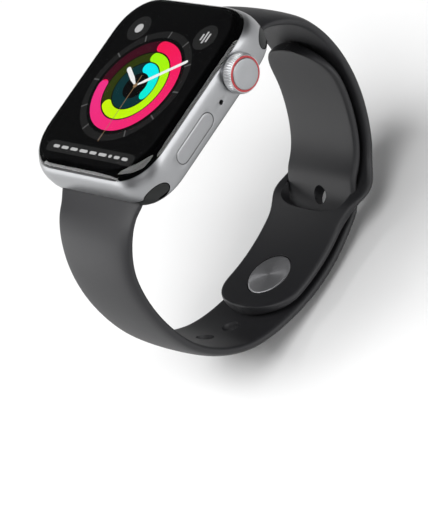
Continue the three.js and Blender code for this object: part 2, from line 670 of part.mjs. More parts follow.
function stations(from, to, step, endLength) {
  const list = [];
  const direction = Math.sign(to - from);
  const straight = Math.abs(to - from) - endLength;
  const count = Math.round(straight / step);
  for (let i = 0; i <= count; i += 1) {
    list.push(from + (direction * straight * i) / count);
    if (i < 3) {
      list.push(from + (direction * straight * (i + 0.5)) / count);
    }
  }
  const endSteps = 5;
  for (let i = 1; i <= endSteps; i += 1) {
    list.push(to - direction * endLength * (1 - Math.sin((Math.PI / 2) * (i / endSteps))));
  }
  return list;
}

function flare(fromLug) {
  return 2 * FLARE * (1 - THREE.MathUtils.smoothstep(fromLug, 0, FLARE_LENGTH));
}

function thickness(fromLug) {
  return THREE.MathUtils.lerp(
    NECK_THICK,
    STRAP_THICK,
    THREE.MathUtils.smoothstep(fromLug, ...THICKENING),
  );
}

function longWidth(distance) {
  const taper = THREE.MathUtils.smoothstep(distance, 0, TAPER_LENGTH);
  const tail = THREE.MathUtils.smoothstep(distance, CROSS_START - 14, CROSS_START);
  return LUG_WIDTH + flare(distance)
    + (STRAP_WIDTH - LUG_WIDTH) * taper + (TAIL_WIDTH - STRAP_WIDTH) * tail;
}

function shortWidth(distance) {
  const fromLug = LOOP_LENGTH - distance;
  const taper = THREE.MathUtils.smoothstep(fromLug, 0, TAPER_LENGTH);
  const middle = (CROSS_START + CROSS_END) / 2;
  const near = THREE.MathUtils.clamp(Math.abs(distance - middle) / KEEPER_REACH, 0, 1);
  const bulge = Math.cos((near * Math.PI) / 2) ** 2;
  return LUG_WIDTH + flare(fromLug)
    + (SHORT_WIDTH - LUG_WIDTH) * taper + (KEEPER_WIDTH - SHORT_WIDTH) * bulge;
}

// A round cutter or pin along the strap's own normal, between two offsets from the loop line.
function normalRod(distance, radius, low, high, sides = 14) {
  const { point, out } = loopFrame(distance);
  const rod = new THREE.CylinderGeometry(radius, radius, high - low, sides);
  rod.applyQuaternion(new THREE.Quaternion().setFromUnitVectors(new THREE.Vector3(0, 1, 0), out));
  const middle = point.clone().addScaledVector(out, (low + high) / 2);
  return rod.translate(middle.x, middle.y, middle.z);
}

function turnedOnLoop(distance, profile, sides) {
  const { point, out } = loopFrame(distance);
  const shape = new THREE.LatheGeometry(profile.map(([r, h]) => new THREE.Vector2(r, h)), sides);
  shape.applyQuaternion(new THREE.Quaternion().setFromUnitVectors(new THREE.Vector3(0, 1, 0), out));
  return shape.translate(point.x, point.y, point.z);
}

// Where a hole lies: they are spaced along the middle of the strap itself, not along the loop line.
function holeDistance(index) {
  const middleAt = (distance) => {
    const { point, out } = loopFrame(distance);
    return point.clone().addScaledVector(out, STRAP_THICK / 2 - LAYER_STEP * crossing(distance));
  };
  const step = Math.sign(index) * HOLE_WALK;
  let distance = PIN_AT;
  let left = Math.abs(index) * HOLE_PITCH;
  while (left > 0) {
    left -= middleAt(distance).distanceTo(middleAt(distance + step));
    distance += step;
  }
  return distance;
}

function strapLong() {
  const rings = stations(0, TAIL_AT, 3, LONG_END_LENGTH).map((distance) => sectionRing(
    distance,
    longWidth(distance) * roundEnd(TAIL_AT - distance, LONG_END_LENGTH),
    -LAYER_STEP * crossing(distance),
    thickness(distance),
  ));
  const holes = [];
  for (let i = -3; i <= 3; i += 1) {
    holes.push(normalRod(holeDistance(i), HOLE_RADIUS, -6, 6));
  }
  return cut(loft(rings), holes);
}

// The room that the long half needs to pass through the keeper slot.
function tuckRoom() {
  const from = CROSS_START - 1.5;
  const to = CROSS_END + 1.5;
  const steps = 9;
  const rings = [];
  for (let i = 0; i <= steps; i += 1) {
    const distance = from + ((to - from) * i) / steps;
    const { point, out } = loopFrame(distance);
    const low = -LAYER_STEP * crossing(distance) - SLOT_GAP;
    const high = low + STRAP_THICK + 2 * SLOT_GAP;
    const half = TAIL_WIDTH / 2 + SLOT_SIDE_GAP;
    const shoulder = low + SLOT_SHOULDER.height;
    const crest = half - SLOT_SHOULDER.inset;
    const corners = [
      [half, low], [half, shoulder], [crest, high],
      [-crest, high], [-half, shoulder], [-half, low],
    ];
    rings.push(corners.map(([x, depth]) => point.clone().addScaledVector(out, depth).setX(x)));
  }
  return loft(rings);
}

// The oval mouth of the keeper slot, from the inner face of the short half down into the tail's room.
function slotMouth() {
  const sides = 24;
  const middle = (CROSS_START + CROSS_END) / 2;
  const halfX = TAIL_WIDTH / 2 - 0.3;
  const innerDepth = () => -LAYER_STEP - 1.5;
  const tailDepth = (distance) => MOUTH_INTO_TAIL - LAYER_STEP * crossing(distance);
  const rings = [innerDepth, tailDepth].map((depth) => {
    const ring = [];
    for (let i = 0; i < sides; i += 1) {
      const angle = (2 * Math.PI * i) / sides;
      const c = Math.cos(angle);
      const s = Math.sin(angle);
      const reach = (Math.abs(c) ** MOUTH_SQUARENESS + Math.abs(s) ** MOUTH_SQUARENESS)
        ** (-1 / MOUTH_SQUARENESS);
      const distance = middle + s * reach * MOUTH_HALF_ALONG;
      const { point, out } = loopFrame(distance);
      ring.push(point.clone().addScaledVector(out, depth(distance)).setX(c * reach * halfX));
    }
    return ring.reverse();
  });
  return loft(rings);
}

function strapShort() {
  const rings = stations(LOOP_LENGTH, TIP_AT, 2.6, SHORT_END_LENGTH).map((distance) => sectionRing(
    distance,
    shortWidth(distance) * roundEnd(distance - TIP_AT, SHORT_END_LENGTH),
    -LAYER_STEP * (1 - crossing(distance)),
    thickness(LOOP_LENGTH - distance),
  ).reverse());
  return cut(loft(rings), [
    tuckRoom(),
    slotMouth(),
    normalRod(PIN_AT, PIN_RADIUS + 0.2, -6, 0),
    normalRod(PIN_AT, DISC_RADIUS + 0.15, -6, -LAYER_STEP + 0.45, 28),
  ]);
}

function buildStrap(parent) {
  add(parent, 'strap_long', strapLong(), RUBBER);
  add(parent, 'strap_short', strapShort(), RUBBER);
  const base = -LAYER_STEP - 0.2;
  const disc = turnedOnLoop(PIN_AT, [
    [0, base], [DISC_RADIUS - 0.25, base + 0.02], [DISC_RADIUS, base + 0.15],
    [DISC_RADIUS, base + 0.6], [0, base + 0.6],
  ], 28);
  add(parent, 'closure_disc', disc, STEEL);
  const pin = turnedOnLoop(PIN_AT, [
    [0, base + 0.65], [PIN_RADIUS, base + 0.65],
    [PIN_RADIUS, STRAP_THICK + 0.15], [2.2, STRAP_THICK + 0.2],
    [2.3, STRAP_THICK + 0.5], [1.9, STRAP_THICK + 0.95],
    [1.0, STRAP_THICK + 1.2], [0, STRAP_THICK + 1.25],
  ], 16);
  add(parent, 'closure_pin', pin, STEEL);
}

add(watch, 'case_housing', caseHousing(), ALUMINIUM);
buildFront(watch);
buildRear(watch);
buildElectronics(watch);
buildHaptic(watch);
watch.add(buildCrown());
buildSideButton(watch);
buildReleaseButtons(watch);
buildLugs(watch);
buildStrap(watch);

export default watch;
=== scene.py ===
# Looks for the smartwatch: finer skins for the pieces that show, procedural finishes, soft studio light.
# Lengths are in millimetres up to to_object(), which turns them into metres in the row frame.
import math
import random

import bmesh
import bpy
import numpy as np
from mathutils import Matrix, Vector


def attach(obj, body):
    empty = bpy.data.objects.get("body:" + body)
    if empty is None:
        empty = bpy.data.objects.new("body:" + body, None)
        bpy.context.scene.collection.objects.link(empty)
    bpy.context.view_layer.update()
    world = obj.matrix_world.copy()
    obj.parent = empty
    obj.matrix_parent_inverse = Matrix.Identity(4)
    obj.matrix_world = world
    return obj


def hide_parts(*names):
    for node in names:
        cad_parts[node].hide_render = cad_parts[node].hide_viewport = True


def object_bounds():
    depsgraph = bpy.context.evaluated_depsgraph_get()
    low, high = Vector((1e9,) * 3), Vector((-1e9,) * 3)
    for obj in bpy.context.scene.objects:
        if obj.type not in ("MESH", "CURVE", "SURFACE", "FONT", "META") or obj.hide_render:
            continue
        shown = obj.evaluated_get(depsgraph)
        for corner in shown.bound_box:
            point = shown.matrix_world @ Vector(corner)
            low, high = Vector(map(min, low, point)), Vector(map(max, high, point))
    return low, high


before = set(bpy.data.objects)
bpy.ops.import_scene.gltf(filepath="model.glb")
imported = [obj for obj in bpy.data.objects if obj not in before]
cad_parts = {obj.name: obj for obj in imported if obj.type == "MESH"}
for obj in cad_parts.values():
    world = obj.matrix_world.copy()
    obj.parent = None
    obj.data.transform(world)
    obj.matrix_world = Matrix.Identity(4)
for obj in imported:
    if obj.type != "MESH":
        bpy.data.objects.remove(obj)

MM = 0.001
cad_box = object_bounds()

# Driving dimensions, the same as the CAD part's ---------------------------------------------------
CASE_HALF_WIDTH = 19
CASE_HALF_LENGTH = 22
CORNER_POWER = 2.3
# The case's outline by height: (height, side inset, end inset, corner radius).
BODY_LEVELS = [
    (1.0, 2.4, 3.0, 7.3), (1.08, 1.5, 1.9, 7.6), (1.3, 0.85, 1.1, 7.9), (1.8, 0.42, 0.55, 8.1),
    (2.8, 0.15, 0.2, 8.3), (4.6, 0, 0, 8.4), (6.4, 0, 0.05, 8.5), (7.8, 0.14, 0.35, 8.8),
    (8.85, 0.42, 0.84, 9.1),
]
GLASS_LEVELS = [
    (8.9, 0.45, 0.88, 9.1), (9.5, 0.7, 1.15, 9.2), (10.05, 1.15, 1.65, 9.3), (10.4, 1.85, 2.45, 9.3),
    (10.62, 2.95, 3.7, 9.1), (10.7, 4.7, 5.9, 8.6),
]
# The glass's underside: (half width, half length, corner radius, height).
GLASS_UNDERSIDE = [(17.2, 20.1, 8.2, 9.7), (17.2, 20.1, 8.2, 8.91), (18.5, 21.07, 9.08, 8.91)]
# Rooms in the case: (half width, half length, corner radius, from height, to height).
LOWER_CAVITY, UPPER_CAVITY = (17, 15.7, 4.5, 2.2, 6.2), (17, 20, 8, 6.1, 8.5)
GLASS_REBATE = (17.75, 20.6, 8.7, 8.4, 10.7)
REAR_SEAT, REAR_WINDOW = (15.7, 15.0, 12.6, 0, 1.75), (14.6, 13.9, 11.6, 1, 2.3)
CHANNEL_Y, CHANNEL_Z = 18.8, 3.6
CHANNEL_RADII = (2.3, 1.8)
LUG_RADII = (2.1, 1.6)
SLOT_ANGLE = math.radians(28)
SLOT_HALF, NECK_HALF = 1.25, 1.05
STRAP_START = 2.23
CROWN_Y, CROWN_Z, CROWN_POCKET_RADIUS = 9.2, 5.2, 3.52
CROWN_TEETH, TOOTH_DEPTH = 48, 0.28
BUTTON_Y, BUTTON_Z, BUTTON_HALF, BUTTON_RADIUS = -6.4, 4.75, 5.75, 1.6
MIC_Y, MIC_Z, MIC_RADIUS = 2.55, 4.45, 0.5
# Pockets in the crown's side of the case: (floor, how far the rim is eased).
CROWN_POCKET, BUTTON_POCKET, MIC_POCKET = (18.2, 0.1), (17.55, 0.07), (16.0, 0.05)
BUTTON_BACK_X, BUTTON_GAP = 17.95, 0.1
SPEAKER_Y, SPEAKER_Z, SPEAKER_HALF, SPEAKER_RADIUS = 4.2, 5.0, 3.4, 0.6
RELEASE_Y, RELEASE_HALF, RELEASE_RADIUS = 18.1, 2.6, 0.75

LOOP = [
    (-20.28, 1.63), (-25.9, -1.35), (-31.1, -7.9), (-33.6, -18.5), (-31.9, -30.5), (-24.8, -39.8),
    (-12.5, -44.9), (0, -45.9), (11.5, -43.6), (21.4, -38.8), (28.6, -28.2), (31.2, -17.0),
    (29.8, -7.8), (24.75, -1.15), (20.28, 1.63),
]
STRAP_THICK, NECK_THICK, LAYER_STEP = 2.5, 2.1, 2.85
LUG_WIDTH, STRAP_WIDTH, TAIL_WIDTH, SHORT_WIDTH, KEEPER_WIDTH = 24, 21.4, 20.8, 22, 26
TAPER_LENGTH = 17
FLARE, FLARE_LENGTH = 0.8, 4
THICKENING = (2.4, 9)
CROSSING_Y = (9.5, 18.5)
KEEPER_REACH = 9
PIN_Y, TIP_Y, TAIL_Z, LOW_STRETCH_Z = -8.0, -18, -15, -44
LONG_END_LENGTH, SHORT_END_LENGTH = 9, 8
HOLE_PITCH, HOLE_RADIUS = 7.2, 1.75
SLOT_GAP = 0.25
MOUTH_HALF_ALONG, MOUTH_SQUARENESS = 5.2, 3.2
SLOT_SIDE_GAP, SLOT_SHOULDER = 0.08, (1.5, 2.1)
MOUTH_LIP, MOUTH_INTO_TAIL, MOUTH_DRAFT, HOLE_WALK = 0.3, 1.2, 0.85, 0.1
PIN_RADIUS, DISC_RADIUS = 1.5, 5.05

DIAL_RADIUS = 12.78
DIAL_Y = -0.29
DIAL_Z = 9.63
# The dial's layers are sheets of this thickness, this far apart.
SHEET, LAYER_PITCH = 0.012, 0.014
# In dial radii: the badges' and the caption's places.
BADGE_X, BADGE_Y, BADGE_RADIUS = 0.82, 1.03, 0.235
CAPTION_Y = -1.28


# Meshes -------------------------------------------------------------------------------------------
def to_object(name, vertices, faces, smooth=40):
    mesh = bpy.data.meshes.new(name)
    mesh.from_pydata([Vector(v) * MM for v in vertices], [], [list(f) for f in faces])
    skin_mesh = bmesh.new()
    skin_mesh.from_mesh(mesh)
    if skin_mesh.calc_volume(signed=True) < 0:
        bmesh.ops.reverse_faces(skin_mesh, faces=skin_mesh.faces)
    skin_mesh.to_mesh(mesh)
    skin_mesh.free()
    obj = bpy.data.objects.new(name, mesh)
    bpy.context.scene.collection.objects.link(obj)
    soften(obj, smooth)
    return obj


def soften(obj, smooth):
    obj.data.shade_smooth()
    obj.data.set_sharp_from_angle(angle=math.radians(smooth))


# A closed skin through rings of equal point count. With loop=True the last ring joins the first.
def skin(rings, loop=False, caps=True):
    count = len(rings[0])
    vertices = [tuple(p) for ring in rings for p in ring]
    faces = []
    spans = len(rings) if loop else len(rings) - 1
    for r in range(spans):
        a0, b0 = r * count, ((r + 1) % len(rings)) * count
        for i in range(count):
            j = (i + 1) % count
            faces.append((a0 + i, a0 + j, b0 + j, b0 + i))
    if caps and not loop:
        faces.append(tuple(reversed(range(count))))
        last = (len(rings) - 1) * count
        faces.append(tuple(range(last, last + count)))
    return vertices, faces


# Turned body about Z from (radius, height) points, lowest first; a loop profile gives a ring.
def turned(profile, sides=96, loop=False):
    angles = [2 * math.pi * i / sides for i in range(sides)]
    return skin([[(r * math.cos(a), r * math.sin(a), h) for a in angles] for r, h in profile], loop)


# The same about X: profile points are (radius, x), lowest x first.
def turned_x(profile, sides=96, loop=False, y=0.0, z=0.0):
    vertices, faces = turned(profile, sides, loop)
    return [(h, y + a, z + b) for a, b, h in vertices], faces


# A smooth curve through the points (centripetal), with a number of steps on each span.
def smooth_path(points, steps):
    rows = [np.array(p, float) for p in points]
    rows = [2 * rows[0] - rows[1]] + rows + [2 * rows[-1] - rows[-2]]
    path = []
    for p0, p1, p2, p3 in zip(rows, rows[1:], rows[2:], rows[3:]):
        t1 = np.linalg.norm(p1 - p0) ** 0.5
        t2 = t1 + np.linalg.norm(p2 - p1) ** 0.5
        t3 = t2 + np.linalg.norm(p3 - p2) ** 0.5
        for i in range(steps):
            t = t1 + (t2 - t1) * i / steps
            a1 = (t1 - t) / t1 * p0 + t / t1 * p1
            a2 = (t2 - t) / (t2 - t1) * p1 + (t - t1) / (t2 - t1) * p2
            a3 = (t3 - t) / (t3 - t2) * p2 + (t - t2) / (t3 - t2) * p3
            b1 = (t2 - t) / t2 * a1 + t / t2 * a2
            b2 = (t3 - t) / (t3 - t1) * a2 + (t - t1) / (t3 - t1) * a3
            path.append((t2 - t) / (t2 - t1) * b1 + (t - t1) / (t2 - t1) * b2)
    path.append(rows[-2])
    return path


def carve(target, cutters, operation="DIFFERENCE", smooth=40):
    for cutter in cutters:
        modifier = target.modifiers.new("cut", "BOOLEAN")
        modifier.operation = operation
        modifier.solver = "MANIFOLD"
        modifier.object = cutter
    depsgraph = bpy.context.evaluated_depsgraph_get()
    result = bpy.data.meshes.new_from_object(target.evaluated_get(depsgraph))
    target.modifiers.clear()
    result.materials.clear()
    target.data = result
    for cutter in cutters:
        bpy.data.objects.remove(cutter)
    soften(target, smooth)
    return target


# A rounded rectangle with soft superellipse corners, as a ring of points.
def outline(half_x, half_y, radius, z, corner_steps=22, side_steps=10):
    corners = []
    for sx, sy, start in ((1, 1, 0), (-1, 1, 90), (-1, -1, 180), (1, -1, 270)):
        arc = []
        for i in range(corner_steps + 1):
            angle = math.radians(start + 90 * i / corner_steps)
            c, s = math.cos(angle), math.sin(angle)
            reach = radius * (abs(c) ** CORNER_POWER + abs(s) ** CORNER_POWER) ** (-1 / CORNER_POWER)
            arc.append((sx * (half_x - radius) + c * reach, sy * (half_y - radius) + s * reach, z))
        corners.append(arc)
    points = []
    for arc, following in zip(corners, corners[1:] + corners[:1]):
        points += arc
        start, end = np.array(arc[-1]), np.array(following[0])
        points += [tuple(start + (end - start) * i / side_steps) for i in range(1, side_steps)]
    return points


def slab(name, half_x, half_y, radius, z0, z1):
    return to_object(name, *skin([outline(half_x, half_y, radius, z) for z in (z0, z1)]))


def level_rings(levels, steps=6, grow=0.0):
    return [
        outline(
            CASE_HALF_WIDTH - side_inset + grow,
            CASE_HALF_LENGTH - end_inset + grow,
            radius + grow,
            z,
        )
        for z, side_inset, end_inset, radius in smooth_path(levels, steps)
    ]


BODY_PATH = smooth_path(BODY_LEVELS, 6)


# How far out the case's side is at a height.
def side_x(z):
    return CASE_HALF_WIDTH - np.interp(z, [p[0] for p in BODY_PATH], [p[1] for p in BODY_PATH])


def box(name, x0, x1, y0, y1, z0, z1):
    rings = [[(x0, y0, z), (x1, y0, z), (x1, y1, z), (x0, y1, z)] for z in (z0, z1)]
    return to_object(name, *skin(rings))


def rod_x(name, radius, x0, x1, y, z, sides=48):
    return to_object(name, *turned_x([(radius, x0), (radius, x1)], sides, y=y, z=z))


def rod_z(name, radius, z0, z1, x, y, sides=48):
    vertices, faces = turned([(radius, z0), (radius, z1)], sides)
    return to_object(name, [(x + a, y + b, c) for a, b, c in vertices], faces)


# Points of an oblong with round ends, [long, short], counter-clockwise.
def oblong(half, radius, steps=24):
    points = []
    for side, start in ((1, -90), (-1, 90)):
        for i in range(steps + 1):
            angle = math.radians(start + 180 * i / steps)
            points.append((side * (half - radius) + radius * math.cos(angle), radius * math.sin(angle)))
    return points


# A bar along X whose section is an oblong, long side along Y.
def oblong_x(name, half, radius, x0, x1, y, z):
    rings = [[(x, y + a, z + b) for a, b in oblong(half, radius)] for x in (x0, x1)]
    return to_object(name, *skin(rings))


def oblong_z(name, half, radius, z0, z1, x, y):
    rings = [[(x + a, y + b, z) for a, b in oblong(half, radius)] for z in (z0, z1)]
    return to_object(name, *skin(rings))


def oval_rod_x(name, radius_y, radius_z, half_x, y, z, sides=72):
    ring = [2 * math.pi * i / sides for i in range(sides)]
    rings = [
        [(x, y + radius_y * math.cos(a), z + radius_z * math.sin(a)) for a in ring]
        for x in (-half_x, half_x)
    ]
    return to_object(name, *skin(rings))


# A bar along X with a rectangular section in the strap slot's own directions; side is -1 or +1.
def slot_bar(name, side, half_x, start, end, low, high):
    out = (side * math.cos(SLOT_ANGLE), -math.sin(SLOT_ANGLE))
    up = (side * math.sin(SLOT_ANGLE), math.cos(SLOT_ANGLE))
    corners = [(start, low), (end, low), (end, high), (start, high)]
    if side < 0:
        corners.reverse()
    rings = [
        [
            (x, side * CHANNEL_Y + out[0] * a + up[0] * b, CHANNEL_Z + out[1] * a + up[1] * b)
            for a, b in corners
        ]
        for x in (-half_x, half_x)
    ]
    return to_object(name, *skin(rings))


# Finishes -----------------------------------------------------------------------------------------
def finish(name, color, roughness, metallic=0.0, grain=3000.0, depth=4e-6, tint=0.05,
           stretch=(1, 1, 1), swing=0.12, **sockets):
    material = bpy.data.materials.new(name)
    material.use_nodes = True
    nodes, links = material.node_tree.nodes, material.node_tree.links
    shader = nodes["Principled BSDF"]
    shader.inputs["Metallic"].default_value = metallic
    for key, value in sockets.items():
        shader.inputs[key.replace("_", " ")].default_value = value
    place = nodes.new("ShaderNodeTexCoord")
    mapping = nodes.new("ShaderNodeMapping")
    mapping.inputs["Scale"].default_value = stretch
    links.new(place.outputs["Object"], mapping.inputs["Vector"])
    noise = nodes.new("ShaderNodeTexNoise")
    noise.inputs["Scale"].default_value = grain
    noise.inputs["Detail"].default_value = 3
    links.new(mapping.outputs["Vector"], noise.inputs["Vector"])
    ramp = nodes.new("ShaderNodeValToRGB")
    ramp.color_ramp.elements[0].position = 0.3
    ramp.color_ramp.elements[1].position = 0.7
    ramp.color_ramp.elements[0].color = (*[c * (1 - tint) for c in color], 1)
    ramp.color_ramp.elements[1].color = (*[min(1, c * (1 + tint)) for c in color], 1)
    links.new(noise.outputs["Fac"], ramp.inputs["Fac"])
    links.new(ramp.outputs["Color"], shader.inputs["Base Color"])
    spread = nodes.new("ShaderNodeMapRange")
    spread.inputs["To Min"].default_value = roughness * (1 - swing)
    spread.inputs["To Max"].default_value = min(1, roughness * (1 + swing))
    links.new(noise.outputs["Fac"], spread.inputs["Value"])
    links.new(spread.outputs["Result"], shader.inputs["Roughness"])
    bump = nodes.new("ShaderNodeBump")
    bump.inputs["Strength"].default_value = 1
    bump.inputs["Distance"].default_value = depth
    links.new(noise.outputs["Fac"], bump.inputs["Height"])
    links.new(bump.outputs["Normal"], shader.inputs["Normal"])
    return material


# Adds a second, coarser or patterned texture to a finish: kind is a texture node's type.
def pattern(material, kind, scale, low, high, depth=0.0, **settings):
    nodes, links = material.node_tree.nodes, material.node_tree.links
    shader = nodes["Principled BSDF"]
    place = nodes.new("ShaderNodeTexCoord")
    texture = nodes.new(kind)
    texture.inputs["Scale"].default_value = scale
    for key, value in settings.items():
        setattr(texture, key, value)
    links.new(place.outputs["Object"], texture.inputs["Vector"])
    output = texture.outputs.get("Fac") or texture.outputs[0]
    ramp = nodes.new("ShaderNodeValToRGB")
    ramp.color_ramp.elements[0].color = (*low, 1)
    ramp.color_ramp.elements[1].color = (*high, 1)
    links.new(output, ramp.inputs["Fac"])
    mix = nodes.new("ShaderNodeMix")
    mix.data_type = "RGBA"
    mix.blend_type = "MULTIPLY"
    mix.inputs["Factor"].default_value = 1
    base = shader.inputs["Base Color"].links[0].from_socket
    links.new(base, mix.inputs["A"])
    links.new(ramp.outputs["Color"], mix.inputs["B"])
    links.new(mix.outputs["Result"], shader.inputs["Base Color"])
    if depth:
        bump = nodes.new("ShaderNodeBump")
        bump.inputs["Distance"].default_value = depth
        links.new(output, bump.inputs["Height"])
        links.new(shader.inputs["Normal"].links[0].from_socket, bump.inputs["Normal"])
        links.new(bump.outputs["Normal"], shader.inputs["Normal"])
    return material


aluminium = finish("aluminium", (0.3, 0.304, 0.312), 0.37, 1.0, grain=9000, depth=1.2e-6, tint=0.03)
crown_aluminium = finish("crown_aluminium", (0.5, 0.505, 0.515), 0.34, 0.72, grain=9000, depth=1e-6)
crown_cap = finish("crown_cap", (0.33, 0.335, 0.345), 0.42, 1.0, grain=9000, depth=1e-6, tint=0.03)
crown_red = finish("crown_red", (0.36, 0.016, 0.022), 0.38, grain=6000, depth=2e-6, Coat_Weight=0.3)
rubber = finish("rubber", (0.0125, 0.0125, 0.0142), 0.56, grain=5200, depth=6e-6, tint=0.1,
                Specular_IOR_Level=0.42)
lug_black = finish("lug_black", (0.008, 0.009, 0.0088), 0.5, grain=6000, depth=3e-6,
                   Specular_IOR_Level=0.25)
glass = finish("glass", (1, 1, 1), 0.015, grain=250, depth=1e-7, tint=0.0, swing=0.5,
               Transmission_Weight=1.0, IOR=1.36)
glass_mask = finish("glass_mask", (0.0008, 0.0008, 0.0009), 0.6, grain=4000, depth=1e-6,
                    Specular_IOR_Level=0.0)
display_black = finish("display_black", (0.0008, 0.0008, 0.0009), 0.6, grain=6000, depth=1e-6,
                       Specular_IOR_Level=0.0)
closure_steel = finish("closure_steel", (0.4, 0.4, 0.413), 0.34, 0.78, grain=4000, depth=1e-6,
                       Anisotropic=0.85)
pin_steel = finish("pin_steel", (0.42, 0.42, 0.43), 0.28, 1.0, grain=6000, depth=1e-6)
seal_rubber = finish("seal_rubber", (0.01, 0.01, 0.011), 0.8, grain=2500, depth=8e-6)
ceramic = finish("ceramic", (0.012, 0.012, 0.013), 0.16, grain=5000, depth=5e-7, Coat_Weight=0.6)
rear_glass = finish("rear_glass", (0.34, 0.34, 0.36), 0.02, grain=300, depth=1e-7, tint=0.02,
                    Transmission_Weight=1.0, IOR=1.5)
sensor = finish("sensor", (0.02, 0.03, 0.026), 0.25, grain=2500, depth=2e-6)
copper = pattern(finish("copper", (0.72, 0.33, 0.17), 0.3, 1.0), "ShaderNodeTexWave", 1500,
                 (0.35, 0.35, 0.35), (1, 1, 1), 2e-5, wave_type="RINGS", rings_direction="Z")
magnet = finish("magnet", (0.5, 0.49, 0.47), 0.25, 1.0, grain=2500, depth=3e-6)
ferrite = finish("ferrite", (0.035, 0.032, 0.03), 0.7, grain=5000, depth=1e-5, tint=0.3)
circuit_board = pattern(finish("circuit_board", (0.012, 0.05, 0.026), 0.4, Coat_Weight=0.4),
                        "ShaderNodeTexVoronoi", 900, (0.35, 0.4, 0.35), (1.3, 1.3, 1.1), 6e-6,
                        distance="MANHATTAN")
shield_can = finish("shield_can", (0.5, 0.5, 0.49), 0.33, 1.0, grain=1500, stretch=(1, 14, 1))
battery_wrap = pattern(finish("battery_wrap", (0.016, 0.016, 0.018), 0.38, Coat_Weight=0.3),
                       "ShaderNodeTexNoise", 130, (0.7, 0.7, 0.7), (1.2, 1.2, 1.2), 2e-5)
black_plastic = finish("black_plastic", (0.018, 0.018, 0.019), 0.5, grain=3500, depth=1.2e-5)
steel = finish("steel", (0.48, 0.48, 0.49), 0.3, 1.0, grain=1200, stretch=(1, 10, 1))
spring_steel = finish("spring_steel", (0.4, 0.41, 0.43), 0.24, 1.0, grain=1600, stretch=(9, 1, 1))
tungsten = finish("tungsten", (0.22, 0.22, 0.23), 0.4, 1.0, grain=4500, depth=6e-6, tint=0.2)
speaker_weave = pattern(finish("speaker_weave", (0.12, 0.12, 0.125), 0.5, 1.0),
                        "ShaderNodeTexVoronoi", 5200, (0.15, 0.15, 0.15), (1, 1, 1), 6e-5)


def glow(name, color, strength=1.0, other=None):
    material = bpy.data.materials.new(name)
    material.use_nodes = True
    nodes, links = material.node_tree.nodes, material.node_tree.links
    shader = nodes["Principled BSDF"]
    shader.inputs["Base Color"].default_value = (0.002, 0.002, 0.002, 1)
    shader.inputs["Roughness"].default_value = 0.6
    shader.inputs["Specular IOR Level"].default_value = 0
    shader.inputs["Emission Color"].default_value = (*color, 1)
    shader.inputs["Emission Strength"].default_value = strength
    if other:
        place = nodes.new("ShaderNodeTexCoord")
        turn = nodes.new("ShaderNodeMapping")
        turn.inputs["Location"].default_value = (0, -DIAL_Y * MM, 0)
        swirl = nodes.new("ShaderNodeTexGradient")
        swirl.gradient_type = "RADIAL"
        ramp = nodes.new("ShaderNodeValToRGB")
        # The radial gradient counts anticlockwise from -X; the dial counts clockwise from +Y.
        ramp.color_ramp.elements[0].position = 0.0
        ramp.color_ramp.elements[0].color = (*other, 1)
        ramp.color_ramp.elements[1].position = 0.75
        ramp.color_ramp.elements[1].color = (*color, 1)
        links.new(place.outputs["Object"], turn.inputs["Vector"])
        links.new(turn.outputs["Vector"], swirl.inputs["Vector"])
        links.new(swirl.outputs["Fac"], ramp.inputs["Fac"])
        links.new(ramp.outputs["Color"], shader.inputs["Emission Color"])
    return material


# Gives a piece its finish, hangs it on the body that it moves with and hides the nodes it stands for.
def piece(obj, material, body, slot, *nodes):
    if not obj.data.materials:
        obj.data.materials.append(material)
    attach(obj, body)
    if nodes:
        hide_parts(*nodes)
    return obj


# Case ---------------------------------------------------------------------------------------------
def case_housing():
    shell = to_object("case_shell", *skin(level_rings(BODY_LEVELS)))
    rooms = (LOWER_CAVITY, UPPER_CAVITY, GLASS_REBATE, REAR_SEAT, REAR_WINDOW)
    cutters = [slab("c", *room) for room in rooms]
    ring = [2 * math.pi * i / 128 for i in range(128)]

    # A pocket open to the side, its rim eased where it meets the case's surface.
    def side_pocket(points, floor, ease):
        rings = [[(floor, y, z) for y, z in points(0)]]
        rings.append([(max(floor + 0.05, side_x(z) - ease), y, z) for y, z in points(0)])
        for share in (0.35, 1.0):
            rings.append([
                (max(floor + 0.1, side_x(z) - ease * (1 - share) ** 2 + 0.02), y, z)
                for y, z in points(ease * share)
            ])
        rings.append([(23, y, z) for y, z in points(ease * 1.4)])
        return to_object("c", *skin(rings))

    def crown_rim(grow):
        radius = CROWN_POCKET_RADIUS + grow
        return [(CROWN_Y + radius * math.cos(a), CROWN_Z + radius * math.sin(a)) for a in ring]

    def button_rim(grow):
        rim = oblong(BUTTON_HALF + BUTTON_GAP + grow, BUTTON_RADIUS + BUTTON_GAP + grow, 28)
        return [(BUTTON_Y + a, BUTTON_Z + b) for a, b in rim]

    def mic_rim(grow):
        radius = MIC_RADIUS + grow
        return [(MIC_Y + radius * math.cos(a), MIC_Z + radius * math.sin(a)) for a in ring[::4]]

    cutters += [
        side_pocket(crown_rim, *CROWN_POCKET),
        side_pocket(button_rim, *BUTTON_POCKET),
        side_pocket(mic_rim, *MIC_POCKET),
        rod_x("c", 2.05, 15, 19, CROWN_Y, CROWN_Z),
        rod_x("c", 1.0, 16, 18, BUTTON_Y, BUTTON_Z),
    ]
    for y in (SPEAKER_Y, -SPEAKER_Y):
        cutters.append(oblong_x("c", SPEAKER_HALF, SPEAKER_RADIUS, -20, -16, y, SPEAKER_Z))
    for side in (-1, 1):
        cutters.append(oval_rod_x("c", *CHANNEL_RADII, 22, side * CHANNEL_Y, CHANNEL_Z))
        cutters.append(slot_bar("c", side, 22, 0, 8, -SLOT_HALF, SLOT_HALF))
        cutters.append(
            oblong_z("c", RELEASE_HALF + 0.1, RELEASE_RADIUS + 0.1, 0.5, 3, 0, side * RELEASE_Y)
        )
    return carve(shell, cutters)


